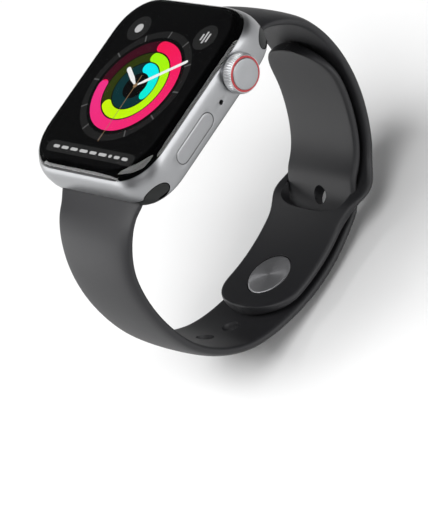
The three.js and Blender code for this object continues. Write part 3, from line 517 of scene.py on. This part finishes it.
# The side button's cap follows the case's surface, with its rim eased.
def button_cap():
    rings = []
    for grow, drop in ((0, None), (0, 0.07), (-0.02, 0.03), (-0.07, 0.0), (-0.5, 0), (-1.0, 0), (-1.4, 0)):
        rim = oblong(BUTTON_HALF + grow, BUTTON_RADIUS + grow, 28)
        points = [(BUTTON_Y + a, BUTTON_Z + b) for a, b in rim]
        rings.append([(BUTTON_BACK_X if drop is None else side_x(z) - drop, y, z) for y, z in points])
    return to_object("side_button", *skin(rings), smooth=50)


def front_glass():
    outer = level_rings(GLASS_LEVELS + [(10.7, 8.0, 9.3, 7.0)], 7)
    under = [outline(*level) for level in GLASS_UNDERSIDE]
    obj = to_object("front_glass", *skin(under + outer), smooth=50)
    obj.data.materials.append(glass)
    obj.data.materials.append(glass_mask)
    # The faces between the underside's rings and up to the outer rim are printed black.
    masked = len(under[0]) * (len(under) + 1)
    for polygon in obj.data.polygons:
        if all(vertex < masked for vertex in polygon.vertices) and len(polygon.vertices) == 4:
            polygon.material_index = 1
    return obj


piece(case_housing(), aluminium, "case", "case_aluminium", "case_housing")
piece(button_cap(), aluminium, "side_button", "case_aluminium", "side_button_cap")
piece(front_glass(), glass, "case", "front_glass", "front_crystal")


# Dial ---------------------------------------------------------------------------------------------
# A thin plate from flat points (x, y) in dial radii round the dial's centre.
def plate(points, z, thick=SHEET):
    rings = [[(x * DIAL_RADIUS, DIAL_Y + y * DIAL_RADIUS, h) for x, y in points] for h in (z, z + thick)]
    return skin(rings)


def merge(parts):
    vertices, faces = [], []
    for more, polygons in parts:
        base = len(vertices)
        vertices += more
        faces += [tuple(base + i for i in polygon) for polygon in polygons]
    return vertices, faces


def clock_point(radius, degrees):
    angle = math.radians(degrees)
    return radius * math.sin(angle), radius * math.cos(angle)


# A band of the dial between two radii, clockwise from start to end in degrees, as a strip of quads.
def arc_band(inner, outer, start, end, z, round_ends=True, thick=SHEET):
    steps = max(8, int(abs(end - start) / 2))
    pairs = []
    middle, half = (inner + outer) / 2, (outer - inner) / 2
    reach = math.degrees(half / middle)
    ends = 10 if round_ends else 0
    for i in range(ends):
        share = math.cos(math.pi / 2 * i / ends)
        pairs.append((start - reach * share, half * math.sqrt(max(0.0004, 1 - share * share))))
    for i in range(steps + 1):
        pairs.append((start + (end - start) * i / steps, half))
    for i in range(1, ends + 1):
        share = math.sin(math.pi / 2 * i / ends)
        pairs.append((end + reach * share, half * math.sqrt(max(0.0004, 1 - share * share))))
    rings = []
    for degrees, width in pairs:
        inside, outside = clock_point(middle - width, degrees), clock_point(middle + width, degrees)
        rings.append([
            (inside[0] * DIAL_RADIUS, DIAL_Y + inside[1] * DIAL_RADIUS, z),
            (outside[0] * DIAL_RADIUS, DIAL_Y + outside[1] * DIAL_RADIUS, z),
            (outside[0] * DIAL_RADIUS, DIAL_Y + outside[1] * DIAL_RADIUS, z + thick),
            (inside[0] * DIAL_RADIUS, DIAL_Y + inside[1] * DIAL_RADIUS, z + thick),
        ])
    closed = abs(abs(end - start) - 360) < 1e-6
    return skin(rings[:-1], loop=True) if closed else skin(rings)


# A bar on the dial that points at a clock angle: half widths at radii along it.
def hand(stations, degrees, z, thick=SHEET):
    along, across = clock_point(1, degrees), clock_point(1, degrees + 90)
    right = [(r * along[0] + w * across[0], r * along[1] + w * across[1]) for r, w in stations]
    left = [(r * along[0] - w * across[0], r * along[1] - w * across[1]) for r, w in stations]
    rings = [
        [(x * DIAL_RADIUS, DIAL_Y + y * DIAL_RADIUS, h) for x, y in right + left[::-1]]
        for h in (z, z + thick)
    ]
    return skin(rings)


def rounded_bar(start, end, half, steps=8):
    turns = [math.pi / 2 * i / steps for i in range(steps + 1)]
    first = [(start + half * (1 - math.cos(a)), half * math.sin(a)) for a in turns]
    last = [(end - half * (1 - math.sin(a)), half * math.cos(a)) for a in turns]
    return [(r, max(w, 0.002)) for r, w in first + last]


def disc(x, y, radius, z, thick=SHEET, sides=48):
    ring = [2 * math.pi * i / sides for i in range(sides)]
    points = [(x + radius * math.cos(a), y + radius * math.sin(a)) for a in ring]
    return plate(points, z, thick)


PINK, GREEN, CYAN = (1.0, 0.006, 0.09), (0.38, 1.0, 0.0), (0.0, 0.9, 1.0)
PINK_END, GREEN_END, CYAN_END = (0.95, 0.03, 0.26), (0.72, 1.0, 0.0), (0.0, 1.0, 0.4)
RINGS = [
    ("outer", 0.657, 0.86, 272, PINK, PINK_END, (0.045, 0.0, 0.008)),
    ("middle", 0.459, 0.634, 232, GREEN, GREEN_END, (0.025, 0.04, 0.0)),
    ("inner", 0.245, 0.438, 127, CYAN, CYAN_END, (0.0, 0.03, 0.036)),
]

LAYERS = [DIAL_Z + LAYER_PITCH * i for i in range(5)]


def build_dial():
    grey = glow("dial_grey", (0.012, 0.012, 0.012))
    white = glow("dial_white", (0.95, 0.95, 0.95))
    tick = glow("dial_tick", (0.11, 0.11, 0.11))
    tan = glow("dial_tan", (0.33, 0.2, 0.1))

    def show(name, parts, material):
        piece(to_object(name, *merge(parts)), material, "case", "display")

    show("dial_track", [arc_band(0.925, 1.05, 0, 360, LAYERS[0], False)], grey)
    ticks = [hand([(0.925, 0.011), (1.05, 0.011)], 30 * i, LAYERS[1]) for i in range(12)]
    show("dial_ticks", ticks, tick)
    for name, inner, outer, sweep, start, end, rest in RINGS:
        show(f"ring_{name}_rest", [arc_band(inner, outer, 0, 360, LAYERS[0], False)],
             glow(f"ring_{name}_rest", rest))
        cap = math.degrees((outer - inner) / (outer + inner))
        show(f"ring_{name}", [arc_band(inner, outer, 0, sweep - cap, LAYERS[1])],
             glow(f"ring_{name}", start, 1.0, end))
    neck = [(0.03, 0.014), (0.17, 0.014)]
    show("hand_hour", [hand(neck + rounded_bar(0.15, 0.53, 0.04), 304, LAYERS[2])], white)
    show("hand_minute", [hand(neck + rounded_bar(0.15, 0.985, 0.031), 54.6, LAYERS[3])], white)
    show("hand_second", [hand([(-0.2, 0.006), (1.07, 0.004)], 179, LAYERS[4]),
                         disc(0, 0, 0.042, LAYERS[4])], tan)

    # Two round badges and a caption bar, with plain marks in place of icons and text.
    badges = [disc(sx * BADGE_X, BADGE_Y, BADGE_RADIUS, LAYERS[0]) for sx in (-1, 1)]
    bar = [hand(rounded_bar(-1.08, 1.08, 0.1), 90, LAYERS[0])]
    bar = [([(x, y + CAPTION_Y * DIAL_RADIUS, z) for x, y, z in v], f) for v, f in bar]
    show("dial_badges", badges + bar, glow("dial_badge", (0.017, 0.017, 0.017)))
    marks = [disc(-BADGE_X, BADGE_Y, 0.085, LAYERS[1])]
    for i, height in enumerate((0.06, 0.11, 0.08)):
        x = 0.75 + 0.07 * i
        mark = hand([(BADGE_Y - height, 0.018), (BADGE_Y + height, 0.018)], 0, LAYERS[1])
        marks.append(([(a + x * DIAL_RADIUS, b, c) for a, b, c in mark[0]], mark[1]))
    rng = random.Random(5)
    x = -0.92
    while x < 0.88:
        length = rng.uniform(0.07, 0.2)
        mark = hand(rounded_bar(x, min(x + length, 0.94), 0.026), 90, LAYERS[1])
        marks.append(([(a, b + CAPTION_Y * DIAL_RADIUS, c) for a, b, c in mark[0]], mark[1]))
        x += length + 0.06
    show("dial_marks", marks, glow("dial_mark", (0.55, 0.55, 0.55)))


build_dial()


# Crown --------------------------------------------------------------------------------------------
def crown_wheel():
    per_tooth = 8
    sides = CROWN_TEETH * per_tooth
    profile = [
        (1.25, 18.55, 0), (3.3, 18.55, 0), (3.4, 18.65, 0), (3.4, 19.28, 0), (3.7, 19.3, 0),
        (3.88, 19.35, 0.4), (3.97, 19.42, 0.8), (4.01, 19.52, 1), (4.02, 20.1, 1), (3.98, 20.5, 1),
        (3.9, 20.8, 1), (3.8, 21.02, 0.8), (3.73, 21.16, 0.5), (3.68, 21.26, 0.2), (3.62, 21.33, 0),
        (3.56, 21.35, 0), (3.52, 21.33, 0), (3.52, 20.75, 0), (1.25, 20.75, 0),
    ]
    shape = (0.0, 0.0, 0.05, 0.3, 0.8, 1.0, 0.8, 0.3)
    rings = []
    for radius, x, share in profile:
        ring = []
        for i in range(sides):
            angle = 2 * math.pi * i / sides
            reach = radius - TOOTH_DEPTH * share * shape[i % per_tooth]
            ring.append((x, CROWN_Y + reach * math.cos(angle), CROWN_Z + reach * math.sin(angle)))
        rings.append(ring)
    return to_object("crown_knurl", *skin(rings, loop=True), smooth=35)


def crown_part(name, profile, loop=False, smooth=40):
    return to_object(name, *turned_x(profile, 128, loop, CROWN_Y, CROWN_Z), smooth=smooth)


piece(crown_wheel(), crown_aluminium, "crown", "crown_aluminium", "crown_wheel")
piece(crown_part("crown_red_ring", [
    (3.11, 20.8), (3.5, 20.8), (3.5, 21.36), (3.46, 21.43), (3.38, 21.46), (3.16, 21.46), (3.11, 21.42),
], loop=True), crown_red, "crown", "crown_red", "crown_ring")
piece(crown_part("crown_cap", [
    (3.07, 20.8), (3.07, 21.45), (3.04, 21.52), (2.97, 21.575), (2.88, 21.6), (1.5, 21.6),
]), crown_cap, "crown", "crown_cap", "crown_face")


# Lugs ---------------------------------------------------------------------------------------------
def lug(name, side):
    barrel = to_object(name, *skin(level_rings(BODY_LEVELS, grow=-0.05)))
    shape = oval_rod_x("c", *LUG_RADII, 21, side * CHANNEL_Y, CHANNEL_Z)
    neck = slot_bar("c", side, 21, 0, 7, -NECK_HALF, NECK_HALF)
    carve(shape, [neck], "UNION")
    carve(barrel, [shape], "INTERSECT")
    flat = box("c", -22, 22, *sorted((side * 14, side * 19.3)), 0, 2.5)
    pocket = slot_bar("c", side, LUG_WIDTH / 2 + FLARE + 0.25, STRAP_START - 0.3, 9, -2, 2)
    return carve(barrel, [pocket, flat, rod_z("c", 0.7, 2, 4.7, 0, side * RELEASE_Y)])


for label, side in (("lower", -1), ("upper", 1)):
    piece(lug(f"band_lug_{label}", side), lug_black, "band", "lug_black", f"lug_{label}")
    pill = []
    for grow, z in ((-0.12, 1.1), (-0.03, 1.14), (0, 1.22), (0, 1.7)):
        points = oblong(RELEASE_HALF + grow, RELEASE_RADIUS + grow)
        pill.append([(a, side * RELEASE_Y + b, z) for a, b in points])
    piece(to_object(f"release_pill_{label}", *skin(pill)), aluminium, f"release_{label}",
          "case_aluminium", f"band_release_{label}")


# Strap --------------------------------------------------------------------------------------------
line = np.array(smooth_path(LOOP, 60))
spans = np.linalg.norm(np.diff(line, axis=0), axis=1)
marks_along = np.concatenate([[0], np.cumsum(spans)])
LOOP_LENGTH = marks_along[-1]


# A point of the loop (y, z) and its outward direction, at a distance from the lower lug.
def loop_frame(distance):
    distance = min(max(distance, 0.0), LOOP_LENGTH)
    at = [np.interp(distance, marks_along, line[:, k]) for k in (0, 1)]
    ahead = [np.interp(min(distance + 0.4, LOOP_LENGTH), marks_along, line[:, k]) for k in (0, 1)]
    behind = [np.interp(max(distance - 0.4, 0), marks_along, line[:, k]) for k in (0, 1)]
    tangent = np.array(ahead) - np.array(behind)
    tangent /= np.linalg.norm(tangent)
    return np.array(at), np.array((tangent[1], -tangent[0]))


def first_where(axis, value, start=0.0):
    for i, distance in enumerate(marks_along):
        if distance >= start and line[i, axis] > value:
            return distance
    return LOOP_LENGTH


# Where the loop, on its way down from the lower lug, first reaches its low stretch.
low_left = marks_along[np.nonzero(line[:, 1] < LOW_STRETCH_Z)[0][0]]
CROSS_START = first_where(0, CROSSING_Y[0], low_left)
CROSS_END = first_where(0, CROSSING_Y[1], low_left)
PIN_AT = first_where(0, PIN_Y, low_left)
TIP_AT = first_where(0, TIP_Y, low_left - 10)
TAIL_AT = first_where(1, TAIL_Z, CROSS_END)


def ease(value, low, high):
    t = min(max((value - low) / (high - low), 0), 1)
    return t * t * (3 - 2 * t)


def crossing(distance):
    t = min(max((distance - CROSS_START) / (CROSS_END - CROSS_START), 0), 1)
    return t ** 3 * (t * (6 * t - 15) + 10)


def flare(from_lug):
    return 2 * FLARE * (1 - ease(from_lug, 0, FLARE_LENGTH))


def long_width(distance):
    taper = ease(distance, 0, TAPER_LENGTH)
    tail = ease(distance, CROSS_START - 14, CROSS_START)
    return LUG_WIDTH + flare(distance) + (STRAP_WIDTH - LUG_WIDTH) * taper + (TAIL_WIDTH - STRAP_WIDTH) * tail


def short_width(distance):
    from_lug = LOOP_LENGTH - distance
    taper = ease(from_lug, 0, TAPER_LENGTH)
    middle = (CROSS_START + CROSS_END) / 2
    near = min(abs(distance - middle) / KEEPER_REACH, 1)
    keeper = (KEEPER_WIDTH - SHORT_WIDTH) * math.cos(near * math.pi / 2) ** 2
    return LUG_WIDTH + flare(from_lug) + (SHORT_WIDTH - LUG_WIDTH) * taper + keeper


# Half of the strap's section, (share of the half width, share of the thickness), inner face first.
SECTION = smooth_path([
    (0, 0), (0.5, 0), (0.88, 0), (0.935, 0.02), (0.975, 0.1), (0.998, 0.27), (0.996, 0.42),
    (0.97, 0.58), (0.905, 0.71), (0.8, 0.82), (0.6, 0.915), (0.3, 0.98), (0, 1),
], 3)


def section_ring(distance, width, offset, thick):
    point, out = loop_frame(distance)
    right = [(a * width / 2, offset + b * thick) for a, b in SECTION]
    left = [(-x, depth) for x, depth in right[1:-1]][::-1]
    return [(x, *(point + out * depth)) for x, depth in right + left]


# Distances along a strap, closer together on its rounded end.
def stations(start, end, end_length, step=0.55):
    direction = 1 if end > start else -1
    straight = abs(end - start) - end_length
    count = round(straight / step)
    places = [start + direction * straight * i / count for i in range(count)]
    places += [
        end - direction * end_length * (1 - math.sin(math.pi / 2 * i / 30)) for i in range(31)
    ]
    return places


def thickness(from_lug):
    return NECK_THICK + (STRAP_THICK - NECK_THICK) * ease(from_lug, *THICKENING)


def strap_rings(places, end, end_length, width, offset):
    rings = []
    for distance in places:
        to_end = abs(distance - end)
        part = min(max(1 - to_end / end_length, 0), 0.9985)
        share = (1 - part ** 2.2) ** (1 / 2.2)
        # The last half millimetre thins to a rounded nose.
        nose = min(to_end / 0.5, 1)
        full = thickness(abs(distance - places[0]))
        thick = full * (0.55 + 0.45 * math.sqrt(1 - (1 - nose) ** 2))
        lift = (full - thick) * 0.45
        rings.append(section_ring(distance, width(distance) * share, offset(distance) + lift, thick))
    return rings


# A cutter along the strap's own normal, from (radius, offset) points.
def normal_cutter(distance, profile, sides=64):
    point, out = loop_frame(distance)
    tangent = (-out[1], out[0])
    vertices, faces = turned(profile, sides)
    placed = [
        (a, point[0] + tangent[0] * b + out[0] * h, point[1] + tangent[1] * b + out[1] * h)
        for a, b, h in vertices
    ]
    return to_object("c", placed, faces)


def along_strap(distance):
    point, out = loop_frame(distance)
    y_axis = Vector((0, -out[1], out[0]))
    z_axis = Vector((0, out[0], out[1]))
    x_axis = y_axis.cross(z_axis)
    turn = Matrix((x_axis, y_axis, z_axis)).transposed().to_4x4()
    return Matrix.Translation(Vector((0, point[0], point[1])) * MM) @ turn


# The holes are spaced along the middle of the strap itself, not along the loop line.
def hole_distance(index):
    def middle_at(distance):
        point, out = loop_frame(distance)
        return point + out * (STRAP_THICK / 2 - LAYER_STEP * crossing(distance))

    distance, left = PIN_AT, abs(index) * HOLE_PITCH
    step = math.copysign(HOLE_WALK, index)
    while left > 0:
        left -= np.linalg.norm(middle_at(distance + step) - middle_at(distance))
        distance += step
    return distance


def strap_long():
    def offset(distance):
        return -LAYER_STEP * crossing(distance)

    places = stations(0, TAIL_AT, LONG_END_LENGTH)
    rings = strap_rings(places, TAIL_AT, LONG_END_LENGTH, long_width, offset)
    strap = to_object("strap_outer", *skin(rings), smooth=50)
    cutters = []
    for i in range(-3, 4):
        at = hole_distance(i)
        base = offset(at)
        top = base + STRAP_THICK
        cutters.append(normal_cutter(at, [
            (HOLE_RADIUS + 0.14, base - 2), (HOLE_RADIUS + 0.14, base + 0.06), (HOLE_RADIUS, base + 0.2),
            (HOLE_RADIUS, top - 0.2), (HOLE_RADIUS + 0.14, top - 0.06), (HOLE_RADIUS + 0.14, top + 2),
        ]))
    return carve(strap, cutters, smooth=50)


# The passage that the long half takes through the short one.
def tuck_room():
    rings = []
    for i in range(41):
        distance = CROSS_START - 3 + (CROSS_END - CROSS_START + 6) * i / 40
        point, out = loop_frame(distance)
        low = -LAYER_STEP * crossing(distance) - SLOT_GAP
        high = low + STRAP_THICK + 2 * SLOT_GAP
        half = TAIL_WIDTH / 2 + SLOT_SIDE_GAP
        shoulder, crest = low + SLOT_SHOULDER[0], half - SLOT_SHOULDER[1]
        right = [(half, low), (half, shoulder), (crest, high)]
        corners = right + [(-x, depth) for x, depth in reversed(right)]
        rings.append([(x, *(point + out * depth)) for x, depth in corners])
    return to_object("c", *skin(rings))


# The oval mouth of the keeper slot, from the short half's inner face down into the tail's room.
def slot_mouth():
    middle = (CROSS_START + CROSS_END) / 2
    half_x, half_along = TAIL_WIDTH / 2 - MOUTH_LIP, MOUTH_HALF_ALONG
    ring = []
    for i in range(96):
        angle = 2 * math.pi * i / 96
        c, s = math.cos(angle), math.sin(angle)
        reach = (abs(c) ** MOUTH_SQUARENESS + abs(s) ** MOUTH_SQUARENESS) ** (-1 / MOUTH_SQUARENESS)
        ring.append((c * reach * half_x, s * reach * half_along))
    rings = []
    low = -LAYER_STEP
    levels = (
        (0.9, 0, low - 1.5), (0.45, 0, low - 0.3), (0.12, 0, low + 0.15), (0, 0.05, low + 0.45),
        (0, MOUTH_DRAFT, None),
    )
    for grow, inset, depth in levels:
        level = []
        for x, along in ring:
            distance = middle + along * (1 + grow / half_along)
            point, out = loop_frame(distance)
            tail = MOUTH_INTO_TAIL - LAYER_STEP * crossing(distance)
            narrowed = x * (1 - inset / half_x)
            level.append((narrowed, *(point + out * (tail if depth is None else depth))))
        rings.append(level)
    return to_object("c", *skin(rings))


def strap_short():
    def offset(distance):
        return -LAYER_STEP * (1 - crossing(distance))

    places = stations(LOOP_LENGTH, TIP_AT, SHORT_END_LENGTH)
    rings = strap_rings(places, TIP_AT, SHORT_END_LENGTH, short_width, offset)
    strap = to_object("strap_inner", *skin([ring[::-1] for ring in rings]), smooth=50)
    return carve(strap, [
        tuck_room(),
        slot_mouth(),
        normal_cutter(PIN_AT, [(PIN_RADIUS + 0.2, -6), (PIN_RADIUS + 0.2, 0)]),
        normal_cutter(PIN_AT, [
            (DISC_RADIUS + 0.35, -LAYER_STEP - 1), (DISC_RADIUS + 0.12, -LAYER_STEP - 0.02),
            (DISC_RADIUS + 0.12, -LAYER_STEP + 0.45),
        ]),
    ], smooth=50)


piece(strap_long(), rubber, "band", "strap_rubber", "strap_long")
piece(strap_short(), rubber, "band", "strap_rubber", "strap_short")


def on_strap(name, profile, material, slot, node, smooth=40):
    vertices, faces = turned(profile, 128)
    obj = to_object(name, vertices, faces, smooth)
    obj.matrix_world = along_strap(PIN_AT)
    return piece(obj, material, "band", slot, node)


# The disc's inner face stands a little proud of the strap; the stud's head lies past the outer face.
base = -LAYER_STEP - 0.2
top = STRAP_THICK
on_strap("closure_button", [
    (1.2, base), (3.7, base), (DISC_RADIUS - 0.42, base + 0.01), (DISC_RADIUS - 0.17, base + 0.05),
    (DISC_RADIUS - 0.03, base + 0.14), (DISC_RADIUS, base + 0.25), (DISC_RADIUS, base + 0.6),
    (1.0, base + 0.6),
], closure_steel, "closure_steel", "closure_disc")
nodes, links = closure_steel.node_tree.nodes, closure_steel.node_tree.links
tangent = nodes.new("ShaderNodeTangent")
tangent.direction_type = "RADIAL"
tangent.axis = "Z"
links.new(tangent.outputs["Tangent"], nodes["Principled BSDF"].inputs["Tangent"])
on_strap("closure_stud", [
    (0.5, base + 0.65), (PIN_RADIUS, base + 0.65), (PIN_RADIUS, top + 0.1), (1.6, top + 0.16),
    (2.15, top + 0.2), (2.28, top + 0.28), (2.32, top + 0.4), (2.28, top + 0.58),
    (2.1, top + 0.85), (1.75, top + 1.04), (1.2, top + 1.18), (0.5, top + 1.24),
], pin_steel, "closure_steel", "closure_pin")


# Back ---------------------------------------------------------------------------------------------
cover = slab("back_cover", 15.55, 14.85, 12.45, 0.8, 1.5)
piece(carve(cover, [rod_z("c", 12.6, 0, 3, 0, 0, 160)]), ceramic, "case", "rear_ceramic", "rear_cover")
dome = smooth_path([(5, 0), (8.2, 0.18), (10.6, 0.55), (12.1, 1.05), (12.4, 1.5)], 6)
inside = smooth_path([(11.6, 1.5), (10.4, 1.2), (8, 0.95), (5, 0.8), (1, 0.78)], 5)
profile = [(1.0, 0)] + [tuple(p) for p in dome] + [tuple(p) for p in inside]
rings = turned(profile, 160)
piece(to_object("back_crystal", *rings, smooth=50), rear_glass, "case", "rear_glass", "rear_crystal")

# Finishes of the CAD pieces that stay.
KEPT = {
    "display_panel": display_black, "display_gasket": seal_rubber, "rear_gasket": seal_rubber,
    "optical_sensor": sensor, "charging_coil": copper, "alignment_magnet": magnet,
    "ferrite_shield": ferrite, "sensor_board": circuit_board, "battery": battery_wrap,
    "main_board": circuit_board, "system_package": shield_can, "speaker_module": black_plastic,
    "speaker_mesh": speaker_weave, "microphone": shield_can, "microphone_mesh": speaker_weave,
    "haptic_tray": steel, "haptic_coil": copper, "haptic_mass": tungsten,
    "haptic_spring_left": spring_steel, "haptic_spring_right": spring_steel, "haptic_lid": steel,
    "crown_shaft": steel, "crown_o_ring": seal_rubber, "crown_bushing": steel,
    "crown_shear_plate": spring_steel, "crown_switch": black_plastic, "crown_encoder": black_plastic,
    "side_button_plunger": steel, "side_button_seal": seal_rubber, "side_button_switch": black_plastic,
    "latch_pin_lower": steel, "latch_pin_upper": steel,
    "latch_spring_lower": spring_steel, "latch_spring_upper": spring_steel,
}
KEPT.update({f"board_screw_{i}": steel for i in range(1, 5)})
for node, material in KEPT.items():
    for material_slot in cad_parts[node].material_slots:
        material_slot.material = material


# Studio -------------------------------------------------------------------------------------------
CAMERA_AZIMUTH = math.radians(69.92)
CAMERA_ELEVATION = math.radians(35.2)
CAMERA_ROLL = math.radians(44.49)
CAMERA_DISTANCE = 0.588
CAMERA_TARGET = Vector((0.0098, -0.01825, -0.02245))
SENSOR_HEIGHT = 36
LENS = 203.8
FLOOR_HALF, FLOOR_GAP = 3, 0.0002
# Name, direction from the watch, distance in metres, size in metres, watts. The overhead one leans
# towards the six o'clock end, so that the sloping edge of the glass doesn't reflect it.
SOFTBOXES = [
    ("overhead", (0.0, -0.36, 0.93), 1.3, (1.9, 0.9), 30),
    ("side", (0.95, 0.3, 0.22), 0.9, (0.6, 0.5), 4.5),
    ("left", (-0.78, -0.62, 0.15), 0.9, (0.6, 0.32), 2.8),
    ("front", (0.45, -0.89, 0.16), 0.9, (0.7, 0.3), 0.5),
]
WORLD_COLOR, WORLD_STRENGTH = (0.9, 0.92, 0.95, 1), 0.05


def build_camera():
    back = Vector((
        math.sin(CAMERA_AZIMUTH) * math.cos(CAMERA_ELEVATION),
        -math.cos(CAMERA_AZIMUTH) * math.cos(CAMERA_ELEVATION),
        math.sin(CAMERA_ELEVATION),
    ))
    level = Vector((math.cos(CAMERA_AZIMUTH), math.sin(CAMERA_AZIMUTH), 0))
    above = back.cross(level)
    right = math.cos(CAMERA_ROLL) * level - math.sin(CAMERA_ROLL) * above
    up = back.cross(right)
    data = bpy.data.cameras.new("camera")
    data.sensor_fit = "VERTICAL"
    data.sensor_height = SENSOR_HEIGHT
    data.lens = LENS
    camera = bpy.data.objects.new("camera", data)
    bpy.context.scene.collection.objects.link(camera)
    turn = Matrix((right, up, back)).transposed().to_4x4()
    camera.matrix_world = Matrix.Translation(CAMERA_TARGET + back * CAMERA_DISTANCE) @ turn
    bpy.context.scene.camera = camera


def build_floor():
    low = cad_box[0][2] - FLOOR_GAP
    half = FLOOR_HALF
    corners = ((-half, -half), (half, -half), (half, half), (-half, half))
    vertices = [(x / MM, y / MM, low / MM) for x, y in corners]
    floor = to_object("floor", vertices, [(0, 1, 2, 3)])
    floor.data.materials.append(finish("floor", (0.8, 0.8, 0.8), 0.7, grain=40, depth=0, tint=0.01))


def softbox(name, direction, distance, size, power, target=Vector((0, 0, -0.01))):
    data = bpy.data.lights.new(name, "AREA")
    data.shape = "RECTANGLE"
    data.size, data.size_y = size
    data.energy = power
    light = bpy.data.objects.new(name, data)
    bpy.context.scene.collection.objects.link(light)
    direction = Vector(direction).normalized()
    light.location = target + direction * distance
    light.rotation_euler = direction.to_track_quat("Z", "Y").to_euler()
    return light


build_camera()
build_floor()
for light in SOFTBOXES:
    softbox(*light)

world = bpy.data.worlds.new("studio")
bpy.context.scene.world = world
world.use_nodes = True
world.node_tree.nodes["Background"].inputs["Color"].default_value = WORLD_COLOR
world.node_tree.nodes["Background"].inputs["Strength"].default_value = WORLD_STRENGTH
bpy.context.scene.view_settings.view_transform = "Standard"
